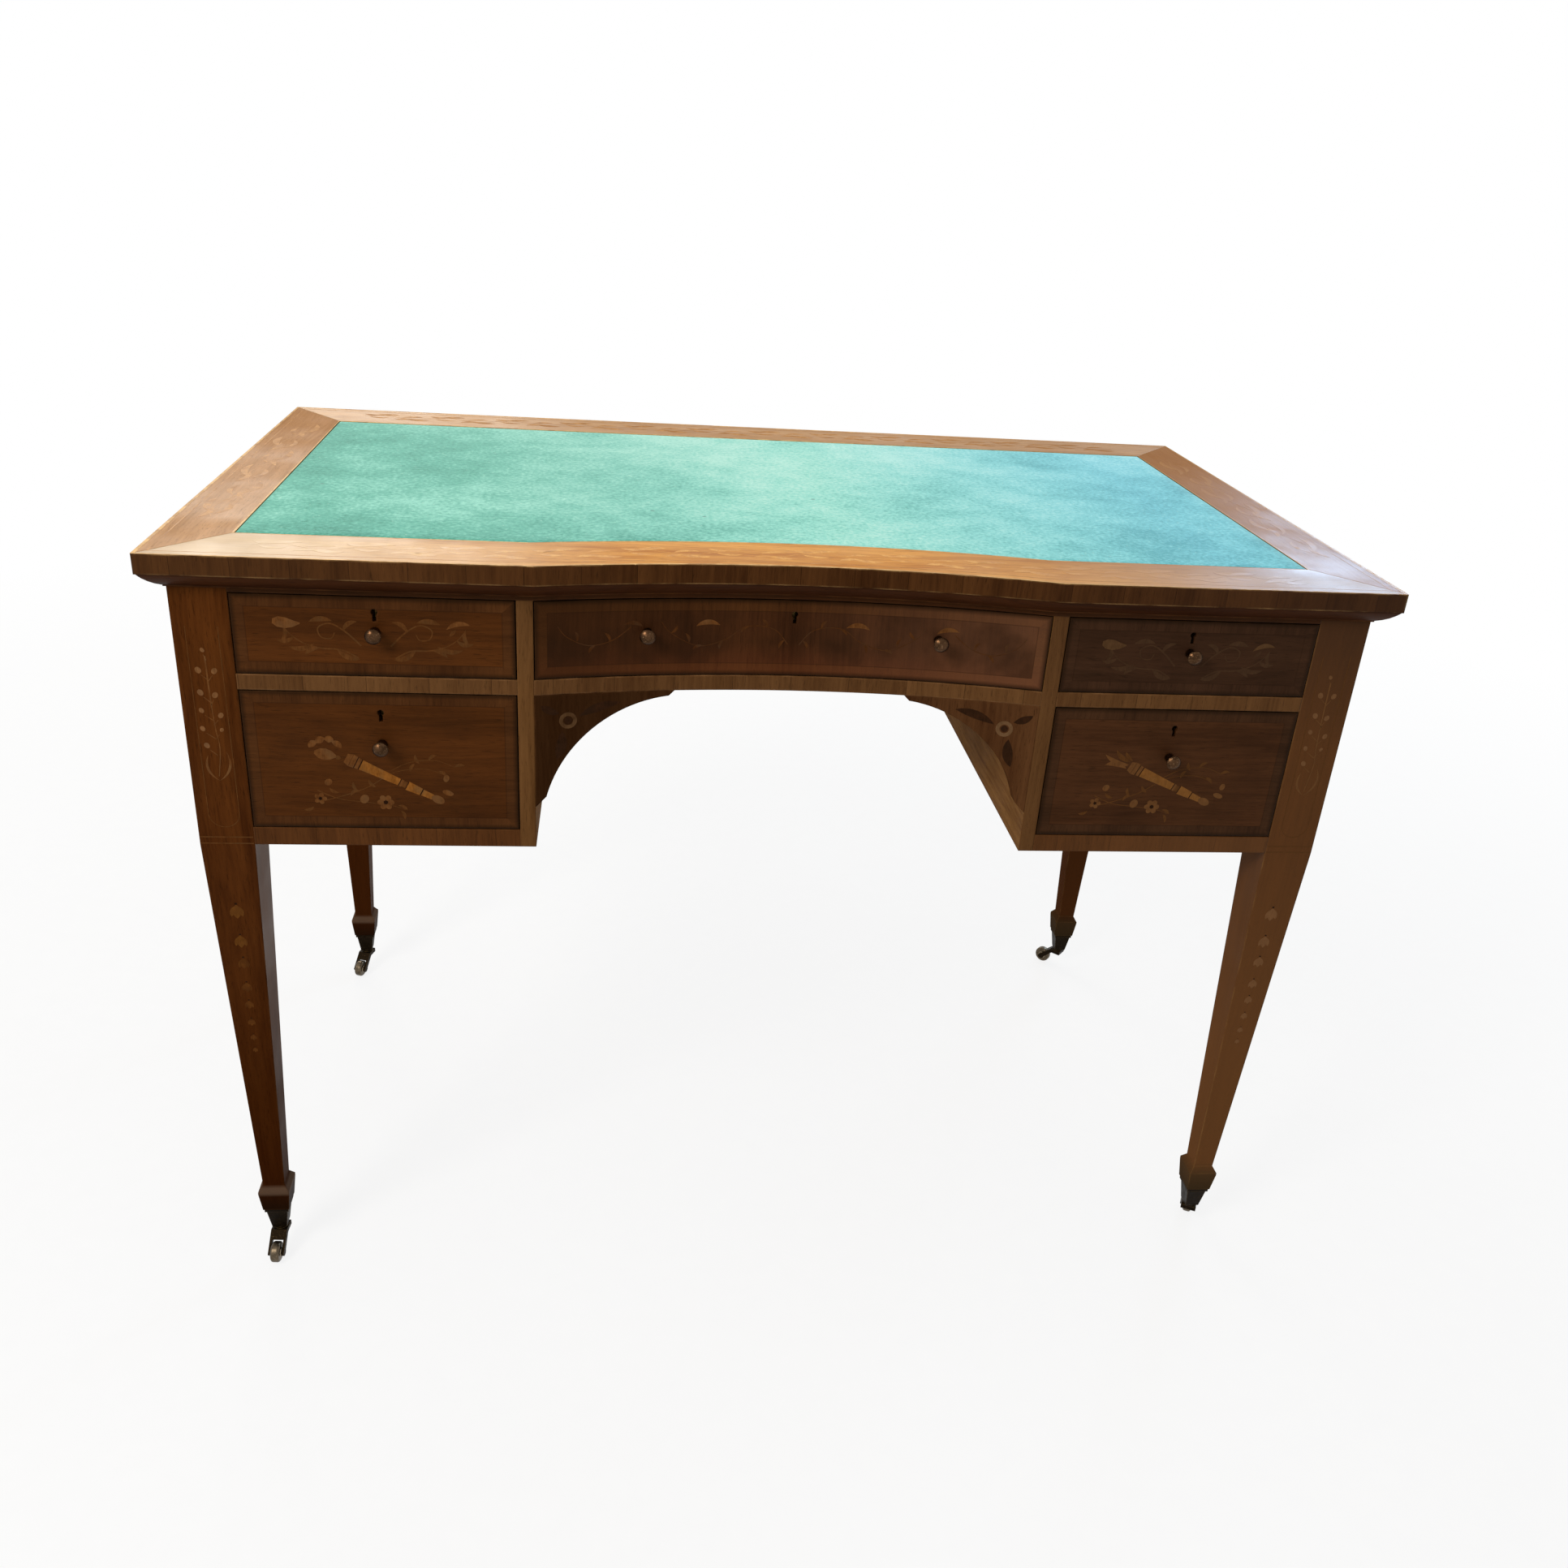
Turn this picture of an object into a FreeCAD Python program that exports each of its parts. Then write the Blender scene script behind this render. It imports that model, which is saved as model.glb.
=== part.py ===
import FreeCAD, Part
import math
import os
import re
import Sketcher

# Writing table with a concave kneehole front: five drawers, tapered legs and brass casters.
# Millimetres. X runs to the right seen from the front, Y to the back, Z up, floor centre at the origin.

# Driving sizes
SIZES = [
    ("top_width", 1067, "top, left to right"),
    ("top_depth", 610, "top, front to back"),
    ("table_height", 754, "floor to the top face"),
    ("overhang", 18, "top beyond the carcass, all round"),
    ("slab_thick", 17, "top frame thickness"),
    ("border_side", 61, "top frame width at the ends"),
    ("border_front", 69, "top frame width at the front"),
    ("border_back", 70, "top frame width at the back"),
    ("baize_thick", 2.5, "writing surface thickness"),
    ("baize_gap", 0.3, "writing surface clearance in its recess"),
    ("moulding_drop", 14, "height of the moulding under the top"),
    ("moulding_radius", 35, "swell of the moulding's sloping face"),
    ("moulding_quirk", 1, "set back of the moulding from the top edge"),
    ("moulding_fillet", 1, "height of the moulding's lower fillet"),
    ("moulding_toe", 2, "projection of the moulding's lower fillet"),
    ("knee_half", 224, "half width of the kneehole"),
    ("knee_sag", 25, "depth of the concave front"),
    ("leg_size", 46.5, "leg block, square"),
    ("leg_ankle", 21, "leg at the bottom of its taper, square"),
    ("foot_top", 89.5, "floor to the top of the spade foot"),
    ("foot_flare", 7, "height of the flare above the foot collar"),
    ("foot_collar", 30, "foot collar, square"),
    ("foot_band", 3, "height of the foot collar"),
    ("foot_toe", 25.5, "lower end of the spade foot, square"),
    ("side_thick", 14, "inner side board of a pedestal"),
    ("panel_thick", 15, "end and back panels"),
    ("panel_recess", 2, "panels behind the leg faces"),
    ("rail_depth", 50, "front rails, front to back"),
    ("top_rail_thick", 18, "rail under the top"),
    ("upper_height", 71, "upper drawer opening"),
    ("divider_thick", 14, "rail between the drawers"),
    ("lower_height", 130, "lower drawer opening"),
    ("bottom_rail_thick", 17, "rail under the lower drawer"),
    ("floor_thick", 8, "pedestal floor board"),
    ("runner_width", 25, "drawer runner and kicker width"),
    ("runner_thick", 10, "drawer runner thickness"),
    ("guide_height", 16, "drawer guide height above its runner"),
    ("front_thick", 20, "drawer front thickness"),
    ("drawer_gap", 1, "gap round a drawer front"),
    ("drawer_lift", 0.3, "running clearance under a drawer"),
    ("lining_thick", 9, "drawer sides and back"),
    ("lining_drop", 6, "drawer sides below the opening's top"),
    ("lining_step", 5, "drawer back below the sides"),
    ("drawer_tail", 12, "clear space behind a closed drawer"),
    ("base_thick", 6, "drawer bottom board"),
    ("base_rise", 6, "drawer bottom above the lower edge of the sides"),
    ("base_groove", 4, "depth of the groove for the drawer bottom"),
    ("dovetail_length", 13, "lap of a drawer side into the front"),
    ("dovetail_root", 0.3, "half width of a tail at its root, as a share of the pitch"),
    ("dovetail_tip", 0.38, "half width of a tail at its tip, as a share of the pitch"),
    ("knob_radius", 6.8, "knob head"),
    ("knob_dome", 8.4, "rounding of the knob's face"),
    ("knob_shoulder", 4.2, "rounding behind the knob head"),
    ("knob_reach", 16, "knob beyond the drawer front"),
    ("knob_crown", 7, "thickness of the knob head"),
    ("knob_stem", 4, "knob stem radius"),
    ("knob_seat", 3, "knob stem let into the drawer front"),
    ("knob_drop", 31, "side knob below the top of its opening"),
    ("knob_drop_lower", 48, "lower knob below the top of its opening"),
    ("knob_spread", 128, "centre knobs, from the middle"),
    ("shank_radius", 2.5, "knob shank"),
    ("shank_play", 0.1, "radial play of shanks and screws"),
    ("nut_radius", 5, "knob nut, across corners, half"),
    ("nut_thick", 4, "knob nut"),
    ("key_radius", 2.8, "round of the keyhole"),
    ("key_slot", 3.2, "keyhole slot width"),
    ("key_length", 8, "keyhole slot below the round"),
    ("key_bite", 2, "keyhole into the lock case"),
    ("key_drop", 14, "keyhole below the top of its opening"),
    ("key_drop_lower", 19, "lower keyhole below the top of its opening"),
    ("lock_width", 46, "lock case"),
    ("lock_height", 22, "lock case of a shallow drawer"),
    ("lock_height_lower", 30, "lock case of a deep drawer"),
    ("lock_depth", 9, "lock case"),
    ("lock_lip", 7, "lock plate beyond the case, each side"),
    ("lock_plate", 2.5, "lock plate thickness"),
    ("bolt_width", 18, "lock bolt"),
    ("bolt_thick", 4, "lock bolt"),
    ("bolt_length", 14, "lock bolt"),
    ("bolt_play", 0.2, "play of the bolt in its slot"),
    ("bracket_drop", 107, "bracket height below the rail"),
    ("bracket_reach", 121, "bracket length along the rail"),
    ("bracket_nib", 9.5, "clipped lower end of the bracket"),
    ("bracket_tip", 5, "clipped upper end of the bracket"),
    ("bracket_radius", 125, "hollow of the bracket"),
    ("bracket_thick", 16, "bracket thickness"),
    ("screw_head", 4, "top screw head radius"),
    ("screw_head_thick", 3, "top screw head"),
    ("screw_sink", 6, "counterbore for the screw head"),
    ("screw_shank", 2, "top screw shank radius"),
    ("screw_bite", 10, "top screw length in the top"),
    ("screw_inset", 40, "front screws from the ends of a bay"),
    ("cup_top", 58, "floor to the caster cup's rim"),
    ("cup_bottom", 30.5, "floor to the underside of the cup"),
    ("cup_toe", 14.5, "cup at its lower end, square"),
    ("cup_rim", 23.5, "cup at its rim band, square"),
    ("cup_band", 4, "height of the cup's rim band"),
    ("cup_step", 0.8, "rim band beyond the cup's sides"),
    ("cup_wall", 1.5, "cup wall"),
    ("cup_floor", 5, "cup floor"),
    ("cup_play", 0.2, "leg end to cup wall"),
    ("wheel_radius", 10.5, "caster wheel"),
    ("wheel_width", 10.5, "caster wheel"),
    ("wheel_round", 2.5, "rounding of the wheel tread"),
    ("hub_radius", 4.5, "wheel hub boss"),
    ("hub_lip", 0.8, "hub boss beyond the wheel's sunk face"),
    ("axle_radius", 1.8, "wheel axle"),
    ("fit_play", 0.05, "radial running play of axles and pivots"),
    ("horn_trail", 22, "wheel axle behind the pivot"),
    ("horn_gap", 0.4, "wheel to fork arm"),
    ("horn_slot", 1.2, "wheel tread to the web of the fork"),
    ("horn_arm", 2.4, "fork arm thickness"),
    ("horn_heel", 6, "fork crown beyond the pivot"),
    ("horn_brow", 9, "fork arm ahead of the pivot, at its top"),
    ("horn_boss", 4.2, "fork arm end radius"),
    ("horn_crown", 5, "fork crown thickness"),
    ("horn_clear", 0.3, "gap between cup and fork plate"),
    ("plate_radius", 7, "fork plate radius"),
    ("plate_thick", 2.5, "fork plate thickness"),
    ("pivot_radius", 3, "fork pivot"),
    ("swivel_front_left", -94, "rest direction of the caster, degrees from +X"),
    ("swivel_front_right", 64, "rest direction of the caster, degrees from +X"),
    ("swivel_back_left", -108, "rest direction of the caster, degrees from +X"),
    ("swivel_back_right", 137, "rest direction of the caster, degrees from +X"),
]

doc = FreeCAD.newDocument("writing_table")
sheet = doc.addObject("Spreadsheet::Sheet", "sizes")
for row, (alias, value, note) in enumerate(SIZES, start=1):
    sheet.set(f"A{row}", note)
    sheet.set(f"B{row}", str(value))
    sheet.setAlias(f"B{row}", alias)
doc.recompute()

ALIAS = re.compile(r"\b(" + "|".join(alias for alias, _, _ in SIZES) + r")\b")
nodes = []


# Helpers for bound sizes

def bound(text):
    """The expression with each size read from the sheet."""
    return ALIAS.sub(r"sizes.\1", str(text))


def number(text):
    """What an expression is worth now."""
    worth = sheet.evalExpression(bound(text))
    return float(getattr(worth, "Value", worth))


def bind(item, **exprs):
    for prop, text in exprs.items():
        item.setExpression(prop, bound(text))
    return item


def place(item, x="0", y="0", z="0", turn=None, axis=(0, 0, 1)):
    """Puts an object at a bound place, turned by a bound angle about an axis."""
    if turn is not None:
        item.Placement = FreeCAD.Placement(FreeCAD.Vector(), FreeCAD.Rotation(FreeCAD.Vector(*axis), 1))
        item.setExpression("Placement.Rotation.Angle", bound(f"({turn}) * 1 deg"))
    item.setExpression("Placement.Base.x", bound(x))
    item.setExpression("Placement.Base.y", bound(y))
    item.setExpression("Placement.Base.z", bound(z))
    return item


def across(side, low, high):
    """A span of X on the right, or its mirror on the left."""
    return (low, high) if side > 0 else (f"-({high})", f"-({low})")


# Helpers for solids

def board(name, x, y, z):
    """A squared board between bound limits on each axis."""
    item = doc.addObject("Part::Box", name)
    bind(item, Length=f"{x[1]} - ({x[0]})", Width=f"{y[1]} - ({y[0]})", Height=f"{z[1]} - ({z[0]})")
    return place(item, x[0], y[0], z[0])


def rod(name, radius, length, x="0", y="0", z="0", along="z"):
    """A round bar from a point along +Z or +Y."""
    item = doc.addObject("Part::Cylinder", name)
    bind(item, Radius=radius, Height=length)
    if along == "z":
        return place(item, x, y, z)
    return place(item, x, y, z, turn="-90", axis=(1, 0, 0))


def frustum(name, x, y, z, low, high):
    """A square bar between two heights, with its own size at each."""
    item = doc.addObject("Part::Wedge", name)
    bind(item, Xmin=f"-({low}) / 2", Xmax=f"({low}) / 2", Zmin=f"-({low}) / 2", Zmax=f"({low}) / 2")
    bind(item, X2min=f"-({high}) / 2", X2max=f"({high}) / 2", Z2min=f"-({high}) / 2", Z2max=f"({high}) / 2")
    bind(item, Ymin=z[0], Ymax=z[1])
    return place(item, x, y, turn="90", axis=(1, 0, 0))


def cut(name, base, *tools):
    for tool in tools:
        item = doc.addObject("Part::Cut", name)
        item.Base = base
        item.Tool = tool
        base = item
    return base


def common(name, base, tool):
    item = doc.addObject("Part::Common", name)
    item.Base = base
    item.Tool = tool
    return item


def fuse(name, *parts):
    item = doc.addObject("Part::MultiFuse", name)
    item.Shapes = list(parts)
    item.Refine = True
    return item


def group(name, *parts):
    """Separate solids that share one node."""
    item = doc.addObject("Part::Compound", name)
    item.Links = list(parts)
    return item


def node(name, item):
    item.Label = name
    nodes.append(item)
    return item


# Helpers for sketched bodies

def arc_centre(start, end, radius, side):
    """The centre of a short arc, to the left of its run for side 1, to the right for side -1."""
    chord = FreeCAD.Vector(end[0] - start[0], end[1] - start[1], 0)
    middle = FreeCAD.Vector((start[0] + end[0]) / 2, (start[1] + end[1]) / 2, 0)
    rise = math.sqrt(max(radius ** 2 - chord.Length ** 2 / 4, 0))
    return middle + FreeCAD.Vector(-chord.y, chord.x, 0).normalize() * (side * rise)


def sketch_on(body, role, corners):
    """A closed outline: corners are (x, y) or (x, y, radius, side) where an arc leaves for the next."""
    sketch = body.newObject("Sketcher::SketchObject", body.Name + "_outline")
    plane = next(item for item in body.Origin.OriginFeatures if item.Role == role)
    sketch.AttachmentSupport = (plane, [""])
    sketch.MapMode = "FlatFace"
    spots = [(number(corner[0]), number(corner[1])) for corner in corners]
    ends = []
    for index, corner in enumerate(corners):
        start, end = spots[index], spots[(index + 1) % len(spots)]
        if len(corner) == 2:
            line = Part.LineSegment(FreeCAD.Vector(*start, 0), FreeCAD.Vector(*end, 0))
            ends.append((sketch.addGeometry(line), 1, 2))
            continue
        radius, side = number(corner[2]), corner[3]
        centre = arc_centre(start, end, radius, side)
        first, last = (start, end) if side > 0 else (end, start)
        angles = [math.atan2(spot[1] - centre.y, spot[0] - centre.x) for spot in (first, last)]
        circle = Part.Circle(centre, FreeCAD.Vector(0, 0, 1), radius)
        geo = sketch.addGeometry(Part.ArcOfCircle(circle, *angles))
        ends.append((geo, 1, 2) if side > 0 else (geo, 2, 1))
        sketch.addConstraint(Sketcher.Constraint("Radius", geo, radius))
        sketch.setExpression(f"Constraints[{sketch.ConstraintCount - 1}]", bound(corner[2]))
    for index, (geo, start, _) in enumerate(ends):
        before, _, finish = ends[index - 1]
        sketch.addConstraint(Sketcher.Constraint("Coincident", before, finish, geo, start))
        for kind, axis in (("DistanceX", 0), ("DistanceY", 1)):
            sketch.addConstraint(Sketcher.Constraint(kind, -1, 1, geo, start, spots[index][axis]))
            sketch.setExpression(f"Constraints[{sketch.ConstraintCount - 1}]", bound(corners[index][axis]))
    return sketch


def padded(name, role, corners, length, x="0", y="0", z="0"):
    """A body extruded from an outline, along the outline plane's own normal."""
    body = doc.addObject("PartDesign::Body", name)
    pad = body.newObject("PartDesign::Pad", name + "_pad")
    pad.Profile = sketch_on(body, role, corners)
    bind(pad, Length=length)
    return place(body, x, y, z)


def turned(name, role, corners):
    """A body turned about the outline's upright axis."""
    body = doc.addObject("PartDesign::Body", name)
    sketch = sketch_on(body, role, corners)
    round_part = body.newObject("PartDesign::Revolution", name + "_turning")
    round_part.Profile = sketch
    round_part.ReferenceAxis = (sketch, ["V_Axis"])
    round_part.Angle = 360
    return body


# Levels, from the top face down
SLAB = "(table_height - slab_thick)"
UPPER_TOP = f"({SLAB} - top_rail_thick)"
UPPER_BASE = f"({UPPER_TOP} - upper_height)"
LOWER_TOP = f"({UPPER_BASE} - divider_thick)"
LOWER_BASE = f"({LOWER_TOP} - lower_height)"
BLOCK_BASE = f"({LOWER_BASE} - bottom_rail_thick)"

# Planes of the carcass
CARCASS_X = "(top_width / 2 - overhang)"
FRONT = "(-top_depth / 2 + overhang)"
BACK = "(top_depth / 2 - overhang)"
BAY_INNER = "(knee_half + side_thick)"
BAY_OUTER = f"({CARCASS_X} - leg_size)"
PANEL_X = f"({CARCASS_X} - panel_recess)"
PANEL_Y = f"({BACK} - panel_recess)"
BACK_FACE = f"({PANEL_Y} - panel_thick)"
LEG_X = f"({CARCASS_X} - leg_size / 2)"
LEG_Y = f"({BACK} - leg_size / 2)"

# Concave front: every curve shares one centre ahead of the table
CURVE = "((knee_half ^ 2 + knee_sag ^ 2) / (2 * knee_sag))"
CURVE_Y = f"({FRONT} + knee_sag - {CURVE})"
SIDES = (("left", -1), ("right", 1))


def curve_cutter(name, radius, low, high):
    return rod(name, radius, f"{high} - ({low})", y=CURVE_Y, z=low)


def break_x(radius, front):
    """Where a concave curve leaves a straight front."""
    return f"sqrt(({radius}) ^ 2 - ({front} - {CURVE_Y}) ^ 2)"


# Screws that hold the top: two in each bay of the front rail, two in the kickers behind it
SEAT = f"({UPPER_TOP} + screw_sink)"
SHANK = f"({SLAB} + screw_bite - {SEAT})"
SCREW_FRONT = f"({FRONT} + rail_depth / 2)"
SCREW_BACK = f"({BACK_FACE} - runner_width / 2)"
screws = []


def screw_hole(name, x, y):
    """Drives one screw and gives the hole that it needs."""
    head = rod(f"{name}_head", "screw_head", "screw_head_thick", x, y, f"{SEAT} - screw_head_thick")
    screws.append(fuse(name, head, rod(f"{name}_shank", "screw_shank", SHANK, x, y, SEAT)))
    sink = rod(f"{name}_sink", "screw_head + shank_play", "screw_sink", x, y, UPPER_TOP)
    bore = rod(f"{name}_bore", "screw_shank + shank_play", f"{SHANK} + shank_play", x, y, SEAT)
    return fuse(f"{name}_hole", sink, bore)


front_holes = []
rear_holes = {}
for name, side in SIDES:
    front_holes += [
        screw_hole(f"screw_inner_{name}", f"{side} * ({BAY_INNER} + screw_inset)", SCREW_FRONT),
        screw_hole(f"screw_outer_{name}", f"{side} * ({BAY_OUTER} - screw_inset)", SCREW_FRONT),
    ]
    rear_holes[name] = [
        screw_hole(f"screw_rear_{name}", f"{side} * ({BAY_OUTER} - runner_width / 2)", SCREW_BACK),
        screw_hole(f"screw_knee_{name}", f"{side} * (knee_half - runner_width / 2)", SCREW_BACK),
    ]
node("top_screws", group("screws", *screws))

# Top: mitred frame, ground panel and writing surface
TOP_X = "(top_width / 2)"
TOP_Y = "(top_depth / 2)"
FIELD_X = f"({TOP_X} - border_side)"
FIELD_FRONT = f"(-{TOP_Y} + border_front)"
FIELD_BACK = f"({TOP_Y} - border_back)"
EDGE_CURVE = f"({CURVE} - overhang)"
FIELD_CURVE = f"({EDGE_CURVE} + border_front)"
EDGE_BREAK = break_x(EDGE_CURVE, f"(-{TOP_Y})")
FIELD_BREAK = break_x(FIELD_CURVE, FIELD_FRONT)


def field(name, inset, thick, low):
    """A board that fills the frame, with the concave front edge."""
    front, curve = f"({FIELD_FRONT} + {inset})", f"({FIELD_CURVE} + {inset})"
    turn = break_x(curve, front)
    half, back = f"({FIELD_X} - {inset})", f"({FIELD_BACK} - {inset})"
    corners = [
        (f"-{half}", front), (f"-{turn}", front, curve, -1), (turn, front),
        (half, front), (half, back), (f"-{half}", back),
    ]
    return padded(name, "XY_Plane", corners, thick, z=low)


node("top_ground", field("ground", "0", "slab_thick - baize_thick", SLAB))
node("writing_surface", field("surface", "baize_gap", "baize_thick", "table_height - baize_thick"))

front_member = padded("frame_front", "XY_Plane", [
    (f"-{TOP_X}", f"-{TOP_Y}"), (f"-{EDGE_BREAK}", f"-{TOP_Y}", EDGE_CURVE, -1), (EDGE_BREAK, f"-{TOP_Y}"),
    (TOP_X, f"-{TOP_Y}"), (FIELD_X, FIELD_FRONT), (FIELD_BREAK, FIELD_FRONT, FIELD_CURVE, 1),
    (f"-{FIELD_BREAK}", FIELD_FRONT), (f"-{FIELD_X}", FIELD_FRONT),
], "slab_thick", z=SLAB)
back_member = padded("frame_back", "XY_Plane", [
    (f"-{TOP_X}", TOP_Y), (f"-{FIELD_X}", FIELD_BACK), (FIELD_X, FIELD_BACK), (TOP_X, TOP_Y),
], "slab_thick", z=SLAB)
end_members = [
    padded(f"frame_end_{name}", "XY_Plane", [
        (f"{side} * {TOP_X}", f"-{TOP_Y}"), (f"{side} * {TOP_X}", TOP_Y),
        (f"{side} * {FIELD_X}", FIELD_BACK), (f"{side} * {FIELD_X}", FIELD_FRONT),
    ], "slab_thick", z=SLAB)
    for name, side in SIDES
]
node("top_frame_front", cut("frame_front_bored", front_member, *front_holes))
node("top_frame_back", cut("frame_back_bored", back_member, *rear_holes["left"], *rear_holes["right"]))
node("top_frame_ends", group("frame_ends", *end_members))

# Sloping moulding under the top: two crossed sections, hollowed at the kneehole and round the carcass
FOOT_Z = f"({SLAB} - moulding_drop)"
STEP_Z = f"({FOOT_Z} + moulding_fillet)"
BROW = "(overhang - moulding_quirk)"


def moulded_section(low, high):
    """The moulding's section between two opposite faces of the carcass."""
    return [
        (f"{low} - moulding_toe", FOOT_Z), (f"{high} + moulding_toe", FOOT_Z),
        (f"{high} + moulding_toe", STEP_Z, "moulding_radius", 1), (f"{high} + {BROW}", SLAB),
        (f"{low} - {BROW}", SLAB, "moulding_radius", 1), (f"{low} - moulding_toe", STEP_Z),
    ]


lengthwise = padded("moulding_length", "YZ_Plane", moulded_section(FRONT, BACK), "top_width", x=f"-{TOP_X}")
crosswise = padded("moulding_width", "XZ_Plane", moulded_section(f"(-{CARCASS_X})", CARCASS_X),
                   "top_depth", y=TOP_Y)
hollow = place(turned("moulding_hollow", "XZ_Plane", [
    ("0", FOOT_Z), (f"{CURVE} - moulding_toe", FOOT_Z),
    (f"{CURVE} - moulding_toe", STEP_Z, "moulding_radius", -1), (f"{CURVE} - {BROW}", SLAB),
    ("0", SLAB),
]), y=CURVE_Y)
core = cut("moulding_core",
           board("moulding_core_block", (f"-{CARCASS_X}", CARCASS_X), (FRONT, BACK), (FOOT_Z, SLAB)),
           curve_cutter("moulding_core_curve", CURVE, FOOT_Z, SLAB))
ring = cut("moulding_ring", common("moulding_block", lengthwise, crosswise), hollow, core)
MITRE = "(overhang + 2 * knee_sag)"


def mitred(name, corners):
    return common(name, ring, padded(name + "_mitre", "XY_Plane", corners, "moulding_drop", z=FOOT_Z))


for name, end in (("front", -1), ("back", 1)):
    node(f"moulding_{name}", mitred(f"moulding_{name}_run", [
        (f"-{TOP_X}", f"{end} * {TOP_Y}"), (TOP_X, f"{end} * {TOP_Y}"),
        (f"{TOP_X} - {MITRE}", f"{end} * ({TOP_Y} - {MITRE})"),
        (f"-({TOP_X} - {MITRE})", f"{end} * ({TOP_Y} - {MITRE})"),
    ]))
node("moulding_ends", group("moulding_end_runs", *[
    mitred(f"moulding_{name}_run", [
        (f"{side} * {TOP_X}", f"-{TOP_Y}"), (f"{side} * {TOP_X}", TOP_Y),
        (f"{side} * ({TOP_X} - {MITRE})", f"{TOP_Y} - {MITRE}"),
        (f"{side} * ({TOP_X} - {MITRE})", f"-({TOP_Y} - {MITRE})"),
    ])
    for name, side in SIDES
]))

# Legs with spade feet, and the brass cups on their ends
CUP_SEAT = "(cup_bottom + cup_floor)"
CUP_MOUTH = "(cup_rim - 2 * cup_step)"
LEGS = [
    (f"{depth}_{name}", f"{side} * {LEG_X}", f"{end} * {LEG_Y}")
    for depth, end in (("front", -1), ("back", 1))
    for name, side in SIDES
]
cups = []
for name, x, y in LEGS:
    collar_top = "(foot_top - foot_flare)"
    collar_base = f"({collar_top} - foot_band)"
    tenon = ("cup_toe - 2 * (cup_wall + cup_play)", f"{CUP_MOUTH} - 2 * (cup_wall + cup_play)")
    parts = [
        frustum(f"leg_{name}_block", x, y, (BLOCK_BASE, SLAB), "leg_size", "leg_size"),
        frustum(f"leg_{name}_taper", x, y, ("foot_top", BLOCK_BASE), "leg_ankle", "leg_size"),
        frustum(f"leg_{name}_flare", x, y, (collar_top, "foot_top"), "foot_collar", "leg_ankle"),
        frustum(f"leg_{name}_band", x, y, (collar_base, collar_top), "foot_collar", "foot_collar"),
        frustum(f"leg_{name}_spade", x, y, ("cup_top", collar_base), "foot_toe", "foot_collar"),
        frustum(f"leg_{name}_tenon", x, y, (CUP_SEAT, "cup_top"), *tenon),
    ]
    node(f"leg_{name}", fuse(f"leg_{name}_whole", *parts))
    shell = fuse(
        f"cup_{name}_shell",
        frustum(f"cup_{name}_sides", x, y, ("cup_bottom", "cup_top"), "cup_toe", CUP_MOUTH),
        frustum(f"cup_{name}_band", x, y, ("cup_top - cup_band", "cup_top"), "cup_rim", "cup_rim"),
    )
    bowl = frustum(f"cup_{name}_bowl", x, y, (CUP_SEAT, "cup_top"), "cup_toe - 2 * cup_wall",
                   f"{CUP_MOUTH} - 2 * cup_wall")
    bore = rod(f"cup_{name}_bore", "pivot_radius + fit_play", "cup_floor", x, y, "cup_bottom")
    cups.append(cut(f"cup_{name}", shell, bowl, bore))
node("caster_cups", group("cups", *cups))

# Carcass boards
for name, side in SIDES:
    node(f"end_panel_{name}", board(f"end_board_{name}", across(side, f"{PANEL_X} - panel_thick", PANEL_X),
                                    (f"{FRONT} + leg_size", f"{BACK} - leg_size"), (BLOCK_BASE, SLAB)))
    inner = board(f"inner_board_{name}", across(side, "knee_half", BAY_INNER), (FRONT, PANEL_Y),
                  (BLOCK_BASE, SLAB))
    notch = board(f"inner_notch_{name}", across(side, "knee_half", BAY_INNER),
                  (FRONT, f"{FRONT} + rail_depth"), (UPPER_TOP, SLAB))
    node(f"inner_side_{name}", cut(f"inner_side_{name}_notched", inner, notch))

top_rail = cut("top_rail", board("top_rail_blank", (f"-{BAY_OUTER}", BAY_OUTER),
                                 (FRONT, f"{FRONT} + rail_depth"), (UPPER_TOP, SLAB)),
               curve_cutter("top_rail_curve", CURVE, UPPER_TOP, SLAB),
               *front_holes)
node("top_rail_front", top_rail)
node("centre_rail", cut("centre_rail_curved",
                        board("centre_rail_blank", ("-knee_half", "knee_half"),
                              (FRONT, f"{FRONT} + knee_sag + rail_depth"), (LOWER_TOP, UPPER_BASE)),
                        curve_cutter("centre_rail_curve", CURVE, LOWER_TOP, UPPER_BASE)))
RAIL_BACK = f"({FRONT} + rail_depth)"
node("divider_rails", group("dividers", *[
    board(f"divider_{name}", across(side, BAY_INNER, BAY_OUTER), (FRONT, RAIL_BACK), (LOWER_TOP, UPPER_BASE))
    for name, side in SIDES
]))
node("bottom_rails", group("bottoms", *[
    board(f"bottom_rail_{name}", across(side, BAY_INNER, BAY_OUTER), (FRONT, RAIL_BACK),
          (BLOCK_BASE, LOWER_BASE))
    for name, side in SIDES
]))

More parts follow.
